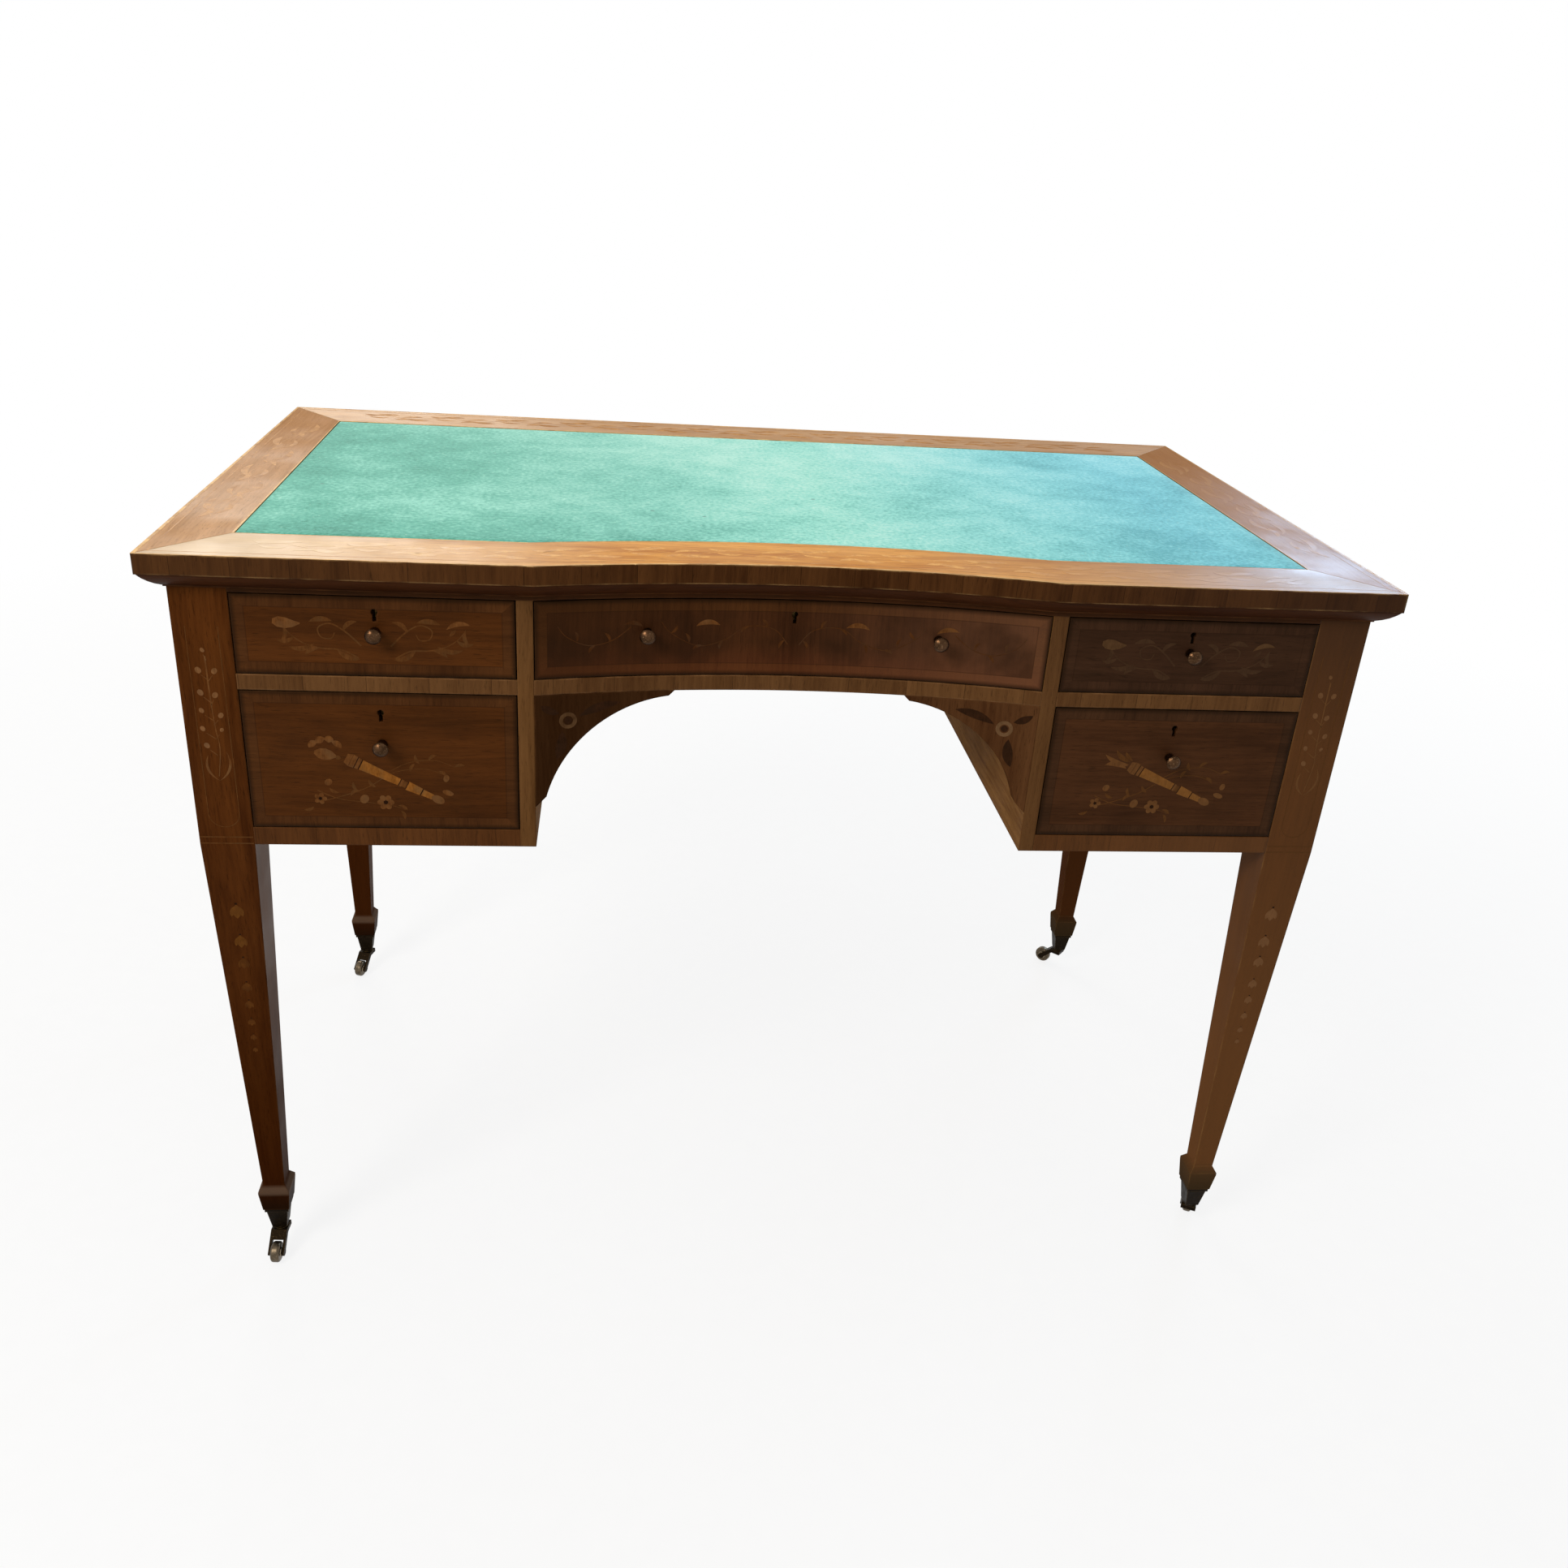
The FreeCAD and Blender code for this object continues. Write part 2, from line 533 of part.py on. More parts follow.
floors = []
for name, side in SIDES:
    plank = board(f"floor_plank_{name}", across(side, BAY_INNER, f"{PANEL_X} - panel_thick"),
                  (RAIL_BACK, BACK_FACE), (f"{LOWER_BASE} - floor_thick", LOWER_BASE))
    corner = board(f"floor_corner_{name}", across(side, BAY_OUTER, CARCASS_X), (f"{BACK} - leg_size", BACK),
                   (f"{LOWER_BASE} - floor_thick", LOWER_BASE))
    floors.append(cut(f"floor_{name}", plank, corner))
node("pedestal_floors", group("floors", *floors))
node("pedestal_backs", group("backs", *[
    board(f"pedestal_back_{name}", across(side, BAY_INNER, BAY_OUTER), (BACK_FACE, PANEL_Y),
          (BLOCK_BASE, SLAB))
    for name, side in SIDES
]))
node("back_apron", board("apron", ("-knee_half", "knee_half"), (BACK_FACE, PANEL_Y), (LOWER_TOP, SLAB)))

# Runners under the upper drawers, guides beside the side drawers, kickers above
UPPER_RUN = (f"{UPPER_BASE} - runner_thick", UPPER_BASE)
KICK = (UPPER_TOP, SLAB)
CENTRE_BACK = f"({FRONT} + knee_sag + rail_depth)"
INNER_STRIP = (BAY_INNER, f"{BAY_INNER} + runner_width")
OUTER_STRIP = (f"{BAY_OUTER} - runner_width", BAY_OUTER)
KNEE_STRIP = ("knee_half - runner_width", "knee_half")
GUIDE_X = (BAY_OUTER, f"{PANEL_X} - panel_thick")
LEG_GAP = (f"{FRONT} + leg_size", f"{BACK} - leg_size")
strips = []
for name, side in SIDES:
    bay = (RAIL_BACK, BACK_FACE)
    kneehole = (CENTRE_BACK, BACK_FACE)
    strips += [
        board(f"runner_inner_{name}", across(side, *INNER_STRIP), bay, UPPER_RUN),
        board(f"runner_outer_{name}", across(side, *OUTER_STRIP), bay, UPPER_RUN),
        board(f"runner_centre_{name}", across(side, *KNEE_STRIP), kneehole, UPPER_RUN),
        board(f"guide_upper_{name}", across(side, *GUIDE_X), LEG_GAP,
              (f"{UPPER_BASE} - runner_thick", f"{UPPER_BASE} + guide_height")),
        board(f"guide_lower_{name}", across(side, *GUIDE_X), (RAIL_BACK, LEG_GAP[1]),
              (LOWER_BASE, f"{LOWER_BASE} + guide_height")),
        board(f"kicker_inner_{name}", across(side, *INNER_STRIP), bay, KICK),
    ]
    outer_hole, knee_hole = rear_holes[name]
    strips += [
        cut(f"kicker_outer_{name}_bored",
            board(f"kicker_outer_{name}", across(side, *OUTER_STRIP), bay, KICK), outer_hole),
        cut(f"kicker_centre_{name}_bored",
            board(f"kicker_centre_{name}", across(side, *KNEE_STRIP), bay, KICK), knee_hole),
    ]
node("drawer_runners", group("runners", *strips))

# Curved brackets under the centre rail
BRACKET_BACK = f"({FRONT} + knee_sag + bracket_thick)"
BRACKET_BASE = f"({LOWER_TOP} - bracket_drop)"
brackets = []
for name, side in SIDES:
    toe = "(knee_half - bracket_reach)"
    blank = padded(f"bracket_{name}_blank", "XZ_Plane", [
        (f"{side} * knee_half", LOWER_TOP), (f"{side} * knee_half", BRACKET_BASE),
        (f"{side} * (knee_half - bracket_nib)", f"{BRACKET_BASE} + bracket_nib", "bracket_radius", side),
        (f"{side} * ({toe} + bracket_tip)", f"{LOWER_TOP} - bracket_tip"), (f"{side} * {toe}", LOWER_TOP),
    ], "knee_sag + bracket_thick", y=BRACKET_BACK)
    strip = cut(f"bracket_{name}_strip",
                curve_cutter(f"bracket_{name}_rear", f"{CURVE} + bracket_thick", BRACKET_BASE, LOWER_TOP),
                curve_cutter(f"bracket_{name}_face", CURVE, BRACKET_BASE, LOWER_TOP))
    brackets.append(common(f"bracket_{name}", blank, strip))
node("kneehole_brackets", group("brackets", *brackets))


# Drawers

def dovetailed_side(name, x, y, z, tails):
    """A drawer side whose front end is cut into tails."""
    pitch = f"(({z[1]} - ({z[0]})) / {tails})"
    corners = [(y[1], z[1]), (y[1], z[0]), (y[0], z[0])]
    for index in range(tails):
        middle = f"({z[0]} + {pitch} * {index + 0.5})"
        root, tip = f"{pitch} * dovetail_root", f"{pitch} * dovetail_tip"
        corners += [
            (y[0], f"{middle} - {root}"), (f"{y[0]} - dovetail_length", f"{middle} - {tip}"),
            (f"{y[0]} - dovetail_length", f"{middle} + {tip}"), (y[0], f"{middle} + {root}"),
        ]
    corners.append((y[0], z[1]))
    return padded(name, "YZ_Plane", corners, "lining_thick", x=x)


def keyhole(name, x, y, z, depth):
    bore = rod(f"{name}_round", "key_radius", depth, x, y, z, along="y")
    slot = board(f"{name}_slot", (f"{x} - key_slot / 2", f"{x} + key_slot / 2"), (y, f"{y} + {depth}"),
                 (f"{z} - key_length", z))
    return fuse(name, bore, slot)


def knob(name, x, y, z, grip):
    """A turned knob on a shank through a front of the given thickness, and its nut."""
    tail = f"{grip} + nut_thick + shank_radius"
    head = turned(f"{name}_head", "XY_Plane", [
        ("0", tail), ("shank_radius", tail), ("shank_radius", "knob_seat"), ("knob_stem", "knob_seat"),
        ("knob_stem", "-(knob_reach - knob_crown)", "knob_shoulder", -1),
        ("knob_radius", "-(knob_reach - knob_crown / 2)", "knob_dome", -1), ("0", "-knob_reach"),
    ])
    place(head, x, y, z)
    blank = doc.addObject("Part::Prism", f"{name}_nut_blank")
    bind(blank, Circumradius="nut_radius", Height="nut_thick")
    place(blank, x, f"{y} + {grip}", z, turn="-90", axis=(1, 0, 0))
    bore = rod(f"{name}_nut_bore", "shank_radius + shank_play", "nut_thick", x, f"{y} + {grip}", z, along="y")
    nut = cut(f"{name}_nut", blank, bore)
    seat = rod(f"{name}_seat", "knob_stem + shank_play", "2 * knob_seat", x, f"{y} - knob_seat", z, along="y")
    hole = rod(f"{name}_hole", "shank_radius + shank_play", grip, x, y, z, along="y")
    return [head, nut], [seat, hole]


def drawer(name, x, z, tails, knobs, drop, key_drop, lock_drop, curved=False):
    """One drawer in its opening: front, dovetailed box, bottom, knobs and lock."""
    inner = f"({FRONT} + knee_sag + front_thick)" if curved else f"({FRONT} + front_thick)"
    front_x = (f"({x[0]} + drawer_gap)", f"({x[1]} - drawer_gap)")
    front_z = (f"({z[0]} + drawer_gap)", f"({z[1]} - drawer_gap)")
    side_z = (f"({z[0]} + drawer_lift)", f"({z[1]} - lining_drop)")
    rear = f"({BACK_FACE} - drawer_tail)"
    box_x = (f"({front_x[0]} + lining_thick)", f"({front_x[1]} - lining_thick)")
    base_z = (f"({side_z[0]} + base_rise)", f"({side_z[0]} + base_rise + base_thick)")

    base = board(f"{name}_base", (f"{box_x[0]} - base_groove", f"{box_x[1]} + base_groove"),
                 (f"{inner} - base_groove", rear), base_z)
    walls = [
        cut(f"{name}_side_{end}_grooved",
            dovetailed_side(f"{name}_side_{end}", low, (inner, rear), side_z, tails), base)
        for end, low in (("left", front_x[0]), ("right", box_x[1]))
    ]
    rear_wall = board(f"{name}_rear", box_x, (f"{rear} - lining_thick", rear),
                      (base_z[1], f"{side_z[1]} - lining_step"))

    middle = f"(({x[0]} + {x[1]}) / 2)"
    lock_y = (f"{inner} - lock_depth", inner)
    case = board(f"{name}_lock_case", (f"{middle} - lock_width / 2", f"{middle} + lock_width / 2"), lock_y,
                 (f"{front_z[1]} - {lock_drop}", front_z[1]))
    plate = board(f"{name}_lock_plate", (f"{middle} - lock_width / 2 - lock_lip",
                                         f"{middle} + lock_width / 2 + lock_lip"), lock_y,
                  (f"{front_z[1]} - lock_plate", front_z[1]))
    lock_blank = fuse(f"{name}_lock_blank", case, plate)
    bolts = []
    for kind, play in (("bolt", "0"), ("bolt_slot", "bolt_play")):
        half_x, half_y = f"(bolt_width / 2 + {play})", f"(bolt_thick / 2 + {play})"
        bolts.append(board(f"{name}_{kind}", (f"{middle} - {half_x}", f"{middle} + {half_x}"),
                           (f"{inner} - lock_depth / 2 - {half_y}", f"{inner} - lock_depth / 2 + {half_y}"),
                           (f"{front_z[1]} - bolt_length", front_z[1])))
    key = keyhole(f"{name}_keyhole", middle, FRONT, f"({z[1]} - {key_drop})",
                  f"({inner} - lock_depth + key_bite - {FRONT})")
    lock = cut(f"{name}_lock_bored", lock_blank, bolts[1], key)

    blank = board(f"{name}_front_blank", front_x, (FRONT, inner), front_z)
    tools = [*walls, base, lock_blank, key]
    if curved:
        tools.append(curve_cutter(f"{name}_front_curve", CURVE, *front_z))
    pulls = []
    for index, spot in enumerate(knobs):
        face = f"({CURVE_Y} + sqrt({CURVE} ^ 2 - ({spot}) ^ 2))" if curved else FRONT
        pieces, holes = knob(f"{name}_knob_{index}", spot, face, f"({z[1]} - {drop})", f"({inner} - {face})")
        pulls += pieces
        tools += holes

    node(f"{name}_front", cut(f"{name}_front_cut", blank, *tools))
    node(f"{name}_box", group(f"{name}_walls", *walls, rear_wall))
    node(f"{name}_bottom", base)
    node(f"{name}_knob", group(f"{name}_pulls", *pulls))
    node(f"{name}_lock", group(f"{name}_lock_set", lock, bolts[0]))


UPPER_Z = (UPPER_BASE, UPPER_TOP)
LOWER_Z = (LOWER_BASE, LOWER_TOP)
BAY_MIDDLE = f"(({BAY_INNER} + {BAY_OUTER}) / 2)"
for name, side in SIDES:
    bay = across(side, BAY_INNER, BAY_OUTER)
    spot = f"{side} * {BAY_MIDDLE}"
    drawer(f"drawer_upper_{name}", bay, UPPER_Z, 2, [spot], "knob_drop", "key_drop", "lock_height")
    drawer(f"drawer_lower_{name}", bay, LOWER_Z, 4, [spot], "knob_drop_lower", "key_drop_lower",
           "lock_height_lower")
drawer("drawer_centre", ("-knee_half", "knee_half"), UPPER_Z, 2, ["-knob_spread", "knob_spread"],
       "knob_drop", "key_drop", "lock_height", curved=True)

# Casters: a fork that swivels in the cup and a wheel on its axle
CROWN_TOP = "(cup_bottom - horn_clear - plate_thick)"
CROWN_BASE = f"({CROWN_TOP} - horn_crown)"
WHEEL_SIDE = "(wheel_width / 2 + horn_gap)"
FORK_SIDE = f"({WHEEL_SIDE} + horn_arm)"
HORN = [
    ("-horn_heel", CROWN_BASE), ("horn_heel", CROWN_BASE),
    ("horn_trail - horn_boss", "wheel_radius", "horn_boss", 1),
    ("horn_trail", "wheel_radius - horn_boss", "horn_boss", 1), ("horn_trail + horn_boss", "wheel_radius"),
    ("horn_brow", CROWN_TOP), ("-horn_heel", CROWN_TOP),
]
SUNK = "(wheel_width / 2 - hub_lip)"
BORE = "axle_radius + fit_play"
WHEEL = [
    (BORE, "-wheel_width / 2"), ("hub_radius", "-wheel_width / 2"), ("hub_radius", f"-{SUNK}"),
    ("wheel_radius - wheel_round", f"-{SUNK}", "wheel_round", 1), ("wheel_radius", f"-({SUNK} - wheel_round)"),
    ("wheel_radius", f"{SUNK} - wheel_round", "wheel_round", 1), ("wheel_radius - wheel_round", SUNK),
    ("hub_radius", SUNK), ("hub_radius", "wheel_width / 2"), (BORE, "wheel_width / 2"),
]
for name, x, y in LEGS:
    blank = padded(f"fork_{name}_blank", "XZ_Plane", HORN, f"2 * {FORK_SIDE}", y=FORK_SIDE)
    slot = rod(f"fork_{name}_slot", "wheel_radius + horn_slot", f"2 * {WHEEL_SIDE}", "horn_trail",
               f"-{WHEEL_SIDE}", "wheel_radius", along="y")
    plate = rod(f"fork_{name}_plate", "plate_radius", "plate_thick", z=CROWN_TOP)
    pivot = rod(f"fork_{name}_pivot", "pivot_radius", "cup_floor", z="cup_bottom - horn_clear")
    axle = rod(f"fork_{name}_axle", "axle_radius", f"2 * {FORK_SIDE}", "horn_trail", f"-{FORK_SIDE}",
               "wheel_radius", along="y")
    horn = cut(f"fork_{name}_horn", fuse(f"fork_{name}_solid", blank, plate, pivot), slot, axle)
    swivel = f"swivel_{name}"
    node(f"caster_fork_{name}", place(group(f"fork_{name}_set", horn, axle), x, y, turn=swivel))
    wheel = turned(f"wheel_{name}_turned", "XY_Plane", WHEEL)
    wheel_x = f"{x} + horn_trail * cos({swivel} * 1 deg)"
    wheel_y = f"{y} + horn_trail * sin({swivel} * 1 deg)"
    node(f"caster_wheel_{name}", place(wheel, wheel_x, wheel_y, "wheel_radius", turn=swivel))

# Checks, then one file for each node
doc.recompute()
faults = [item.Name for item in doc.Objects if {"Invalid", "Error"} & set(item.State)]
faults += [item.Label for item in nodes if item.Shape.isNull() or not item.Shape.isValid()]
if faults:
    raise RuntimeError("not built: " + ", ".join(faults))
os.makedirs("parts", exist_ok=True)
for item in nodes:
    item.Shape.exportStep(f"parts/{item.Label}.step")
    print(item.Label, len(item.Shape.Solids), "solids", round(item.Shape.Volume), "mm3")
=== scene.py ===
import math

import bmesh
import bpy
from mathutils import Matrix, Vector, noise
from mathutils.bvhtree import BVHTree


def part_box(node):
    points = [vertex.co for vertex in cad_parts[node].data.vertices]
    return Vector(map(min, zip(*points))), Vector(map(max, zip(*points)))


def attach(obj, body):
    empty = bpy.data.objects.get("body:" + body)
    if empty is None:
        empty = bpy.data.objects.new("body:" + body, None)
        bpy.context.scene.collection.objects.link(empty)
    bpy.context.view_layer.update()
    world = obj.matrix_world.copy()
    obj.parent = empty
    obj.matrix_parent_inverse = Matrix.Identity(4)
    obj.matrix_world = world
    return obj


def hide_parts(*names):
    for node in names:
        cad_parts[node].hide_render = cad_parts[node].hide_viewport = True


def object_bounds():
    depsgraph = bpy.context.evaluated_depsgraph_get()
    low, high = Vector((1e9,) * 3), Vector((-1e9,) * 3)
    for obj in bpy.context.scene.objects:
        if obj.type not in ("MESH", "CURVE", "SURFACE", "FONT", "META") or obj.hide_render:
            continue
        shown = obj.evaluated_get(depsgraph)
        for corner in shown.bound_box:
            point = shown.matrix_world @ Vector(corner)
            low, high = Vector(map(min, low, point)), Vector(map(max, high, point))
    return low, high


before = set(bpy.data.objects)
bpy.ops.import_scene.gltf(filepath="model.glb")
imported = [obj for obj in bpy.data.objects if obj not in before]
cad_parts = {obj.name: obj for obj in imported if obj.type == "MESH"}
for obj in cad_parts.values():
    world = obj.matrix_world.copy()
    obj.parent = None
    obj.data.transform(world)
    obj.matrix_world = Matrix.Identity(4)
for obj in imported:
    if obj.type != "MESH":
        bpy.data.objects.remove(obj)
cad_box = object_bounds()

MM = 0.001


def node_box(name):
    """Lowest and highest corner of a piece, in millimetres."""
    low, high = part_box(name)
    return low / MM, high / MM


# Places read from the frame, in millimetres: the top's outline, and the field that its border leaves open
TOP_LOW, TOP_HIGH = (corner / MM for corner in cad_box)
FIELD_LOW, FIELD_HIGH = node_box("writing_surface")
FIELD_INSET = (FIELD_LOW.y - TOP_LOW.y, TOP_HIGH.x - FIELD_HIGH.x, TOP_HIGH.y - FIELD_HIGH.y)
DRAWERS = [f"{level}_{side}" for level in ("upper", "lower") for side in ("left", "right")] + ["centre"]
CORNERS = [f"{end}_{side}" for end in ("front", "back") for side in ("left", "right")]

# The hollow of the front: every curve there is struck from one centre ahead of the table
HOLLOW_CENTRE_Y = -1278.02
HOLLOW_EDGE_Y = -280.0
HOLLOW_RADIUS = HOLLOW_EDGE_Y - HOLLOW_CENTRE_Y


def spread(first, last, count):
    """Evenly spaced values from first to last."""
    return [first + (last - first) * i / (count - 1) for i in range(count)]


def tone(red, green, blue):
    """A colour given as 0 to 255, as the linear colour that a shader takes."""
    shares = (channel / 255 for channel in (red, green, blue))
    return (*(s / 12.92 if s <= 0.04045 else ((s + 0.055) / 1.055) ** 2.4 for s in shares), 1.0)


def dimmed(colour, share):
    """A share of a colour's light."""
    return tuple(share * channel for channel in colour[:3]) + (1.0,)


# Woods, each as its dark and its light colour
MAHOGANY = (tone(33, 13, 3), tone(58, 28, 9))
MOULDING_VENEER = (tone(44, 19, 6), tone(68, 35, 13))
PANEL_VENEER = (tone(46, 22, 8), tone(74, 41, 17))
FRONT_VENEER = (tone(52, 25, 6), tone(80, 43, 15))
# The right drawers' veneers and banding are darker, cooler copies: painted shade.
RIGHT_SHADED_VENEER = (tone(38, 22, 13), tone(60, 38, 25))
LOW_RIGHT_SHADED_VENEER = (tone(50, 27, 13), tone(75, 45, 25))
CENTRE_VENEER = (tone(38, 17, 6), tone(67, 37, 18))
BANDING = (tone(52, 27, 10), tone(76, 44, 20))
RIGHT_SHADED_BANDING = (tone(42, 24, 13), tone(64, 40, 24))
RAIL_VENEER = (tone(69, 42, 20), tone(98, 66, 37))
LOW_RAIL_VENEER = (tone(56, 29, 10), tone(86, 50, 22))
STILE_VENEER = (tone(76, 48, 23), tone(106, 73, 41))
KNEE_VENEER = (tone(92, 60, 30), tone(134, 96, 54))
BRACKET_VENEER = (tone(60, 34, 17), tone(88, 57, 33))
LEG_VENEER = (tone(50, 21, 4), tone(84, 45, 15))
EDGE_VENEER = (tone(50, 27, 11), tone(80, 49, 24))
FRONT_BORDER = (tone(164, 100, 32), tone(222, 162, 80))
END_BORDER = (tone(142, 99, 52), tone(179, 133, 86))
BACK_BORDER = (tone(146, 104, 60), tone(190, 146, 96))
LINING = (tone(112, 80, 46), tone(156, 120, 78))

# The paler colours that rubbing leaves on the arrises, and the warm reflection of old polish
WOOD_ARRIS = tone(110, 70, 38)
FRONT_ARRIS = tone(96, 60, 32)
RAIL_ARRIS = tone(150, 108, 70)
LINING_ARRIS = tone(176, 144, 104)
TOP_ARRIS = tone(206, 164, 108)
LEFT_LEG_ARRIS = tone(108, 68, 35)
# The right legs' arrises are paler still: wear and a painted highlight.
RIGHT_LEG_WORN_HIGHLIGHT = tone(150, 110, 64)
SHELLAC = (1.0, 0.6, 0.3, 1.0)

# Colours over the legs: painted shade low on the left and on the back legs, painted light on the right, a duller
# tone high on the right, dust with painted light on the collars' ledges, darker about the feet; and the height of
# the feet's collars, in metres
LEG_LOW_SHADE = tone(36, 11, 1)
LEG_RIGHT_LIGHT = tone(118, 78, 44)
LEG_BACK_SHADE = tone(66, 34, 13)
LEG_DULL = tone(50, 36, 28)
LEG_FOOT_DARK = tone(22, 13, 6)
LEG_DUST_AND_LIGHT = tone(104, 84, 68)
FOOT_OLIVE = tone(62, 50, 33)
FOOT_COLLAR = 0.081

# The drawer fronts: widths of the banding and of the painted shade at the edges, in metres, and their colours: a
# stain, a joint and the painted shade
BORDER_WIDE = 0.0105
GAP_SHADE_WIDE = 0.0045
FRONT_STAIN = tone(30, 15, 7)
FRONT_JOINT = tone(26, 11, 4)
FRONT_GAP_SHADE = tone(18, 8, 3)
VENEERS = {"upper_left": FRONT_VENEER, "lower_left": FRONT_VENEER, "upper_right": RIGHT_SHADED_VENEER,
           "lower_right": LOW_RIGHT_SHADED_VENEER, "centre": CENTRE_VENEER}
BANDINGS = {"upper_right": RIGHT_SHADED_VENEER, "lower_right": RIGHT_SHADED_BANDING}

# Drifts of colour: (axis, start, end, share at the end, colour to turn towards), in metres
CENTRE_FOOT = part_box("drawer_centre_front")[0].z
CENTRE_DRIFTS = [("Z", CENTRE_FOOT + 0.03, CENTRE_FOOT + 0.006, 0.28, tone(102, 52, 30)),
                 ("X", 0.0, 0.2, 0.33, tone(118, 80, 58)), ("X", -0.05, -0.2, 0.5, tone(46, 24, 9))]
END_DRIFTS = [("X", -0.2, 0.4, 0.6, tone(130, 86, 48)), ("Y", -0.15, 0.2, 0.3, tone(156, 104, 56))]
EDGE_DRIFTS = [("X", 0.15, 0.5, 0.5, tone(44, 30, 24))]
STILE_DRIFTS = [("X", 0.0, 0.2, 0.3, tone(66, 42, 28)), ("Z", 0.64, 0.7, 0.12, tone(40, 26, 22))]
LOW_RAIL_DRIFTS = [("X", 0.1, 0.4, 0.4, tone(96, 64, 38))]
# The left bracket is darker: painted shade.
BRACKET_SHADE_DRIFTS = [("X", 0.15, -0.15, 0.62, tone(28, 14, 4))]
# The legs turn paler towards the right: painted light.
LEG_LIGHT_DRIFTS = [("X", -0.2, 0.4, 0.55, tone(98, 66, 40))]


def painted_end_glare(right, left):
    """Drifts of a colour that turn paler towards both ends of the top's front: painted glare."""
    return [("X", 0.1, 0.45, 0.85, right), ("X", -0.15, -0.45, 0.8, left)]


class Nodes:
    """The nodes of a material or a world: most methods add some and give back the socket to link from."""

    def __init__(self, owner):
        owner.use_nodes = True
        self.tree = owner.node_tree

    def add(self, kind, inputs=None, output=0, **settings):
        node = self.tree.nodes.new("ShaderNode" + kind)
        for key, value in settings.items():
            setattr(node, key, value)
        for key, value in (inputs or {}).items():
            self.feed(node.inputs[key], value)
        return node.outputs[output]

    def feed(self, socket, value):
        if isinstance(value, bpy.types.NodeSocket):
            self.tree.links.new(value, socket)
        else:
            socket.default_value = value

    def show(self, end, shader):
        """Makes a shader the one that is seen."""
        self.feed(self.tree.nodes[end].inputs["Surface"], shader)

    def math(self, operation, first, second=0.0):
        return self.add("Math", {0: first, 1: second}, operation=operation)


class Finish(Nodes):
    """A material, with the place of a point and the way that its face looks."""

    def __init__(self, name):
        self.material = bpy.data.materials.new(name)
        super().__init__(self.material)
        self.shader = self.tree.nodes["Principled BSDF"]
        self.place = self.add("TexCoord", output="Object")
        self.turn = self.add("TexCoord", output="Normal")

    def set(self, **values):
        """Feeds the shader's inputs, named with underscores for spaces."""
        for key, value in values.items():
            self.feed(self.shader.inputs[key.replace("_", " ")], value)

    def times(self, first, second):
        return self.math("MULTIPLY", first, second)

    def blend(self, *parts):
        """The sum of some values, each times its share."""
        total = 0.0
        for value, share in parts:
            total = self.math("ADD", total, self.times(value, share))
        return total

    def vector(self, operation, first, second, output=0):
        return self.add("VectorMath", {0: first, 1: second}, output, operation=operation)

    def noise(self, vector, scale, detail=2.0, output=0):
        return self.add("TexNoise", {"Vector": vector, "Scale": scale, "Detail": detail}, output)

    def fit(self, value, low, high, to_low=0.0, to_high=1.0):
        return self.add("MapRange", {0: value, 1: low, 2: high, 3: to_low, 4: to_high})

    def mix(self, share, first, second):
        return self.add("Mix", {0: share, 6: first, 7: second}, 2, data_type="RGBA")

    def axis(self, vector, letter):
        return self.add("SeparateXYZ", {0: vector}, "XYZ".index(letter))

    def along(self, letter, start, end, at_start=0.0, at_end=1.0):
        """A value that runs from one place on an axis of the part to another, in metres."""
        return self.fit(self.axis(self.place, letter), start, end, at_start, at_end)

    def ramp(self, value, *stops):
        socket = self.add("ValToRGB", {0: value})
        elements = socket.node.color_ramp.elements
        while len(elements) < len(stops):
            elements.new(0.5)
        for element, (position, colour) in zip(elements, stops):
            element.position = position
            element.color = colour
        return socket

    def rubbed(self, radius):
        """The softened normal at arrises, and how near a point is to one."""
        rounded = self.add("Bevel", {"Radius": radius}, samples=4)
        flat = self.add("NewGeometry", output="True Normal")
        close = self.vector("DOT_PRODUCT", rounded, flat, output="Value")
        return rounded, self.fit(self.math("SUBTRACT", 1.0, close), 0.01, 0.18)


# The top's gloss: rubbed away towards the back, kept along the front and most of all at its left
TOP_ROUGH = 0.36
BACK_GLOSS = 0.05


def top_gloss(look):
    left, right = look.along("X", -0.5, -0.1, 0.035, 0.03), look.along("X", 0.1, 0.45, 0.03, 0.034)
    return look.times(look.math("MAXIMUM", left, right), look.along("Y", 0.2, -0.25, 0.1, 1.0))


def front_gloss(look):
    left, right = look.along("X", -0.45, -0.1, 0.135, 0.04), look.along("X", 0.1, 0.45, 0.04, 0.06)
    return look.math("MAXIMUM", left, right)


# Woods: the grain runs long on one axis, with streaks, fine lines and pores across it
GRAIN_STRETCH = {"X": (0.06, 1.0, 1.0), "Y": (1.0, 0.06, 1.0), "Z": (1.0, 1.0, 0.06)}
GRAIN_BEND = 0.014
BEND_SCALE = 6.0
STREAK_SCALE = 34.0
LINE_SCALE = 330.0
PORE_SCALE = 1500.0
SEAM_WIDE = 0.0005


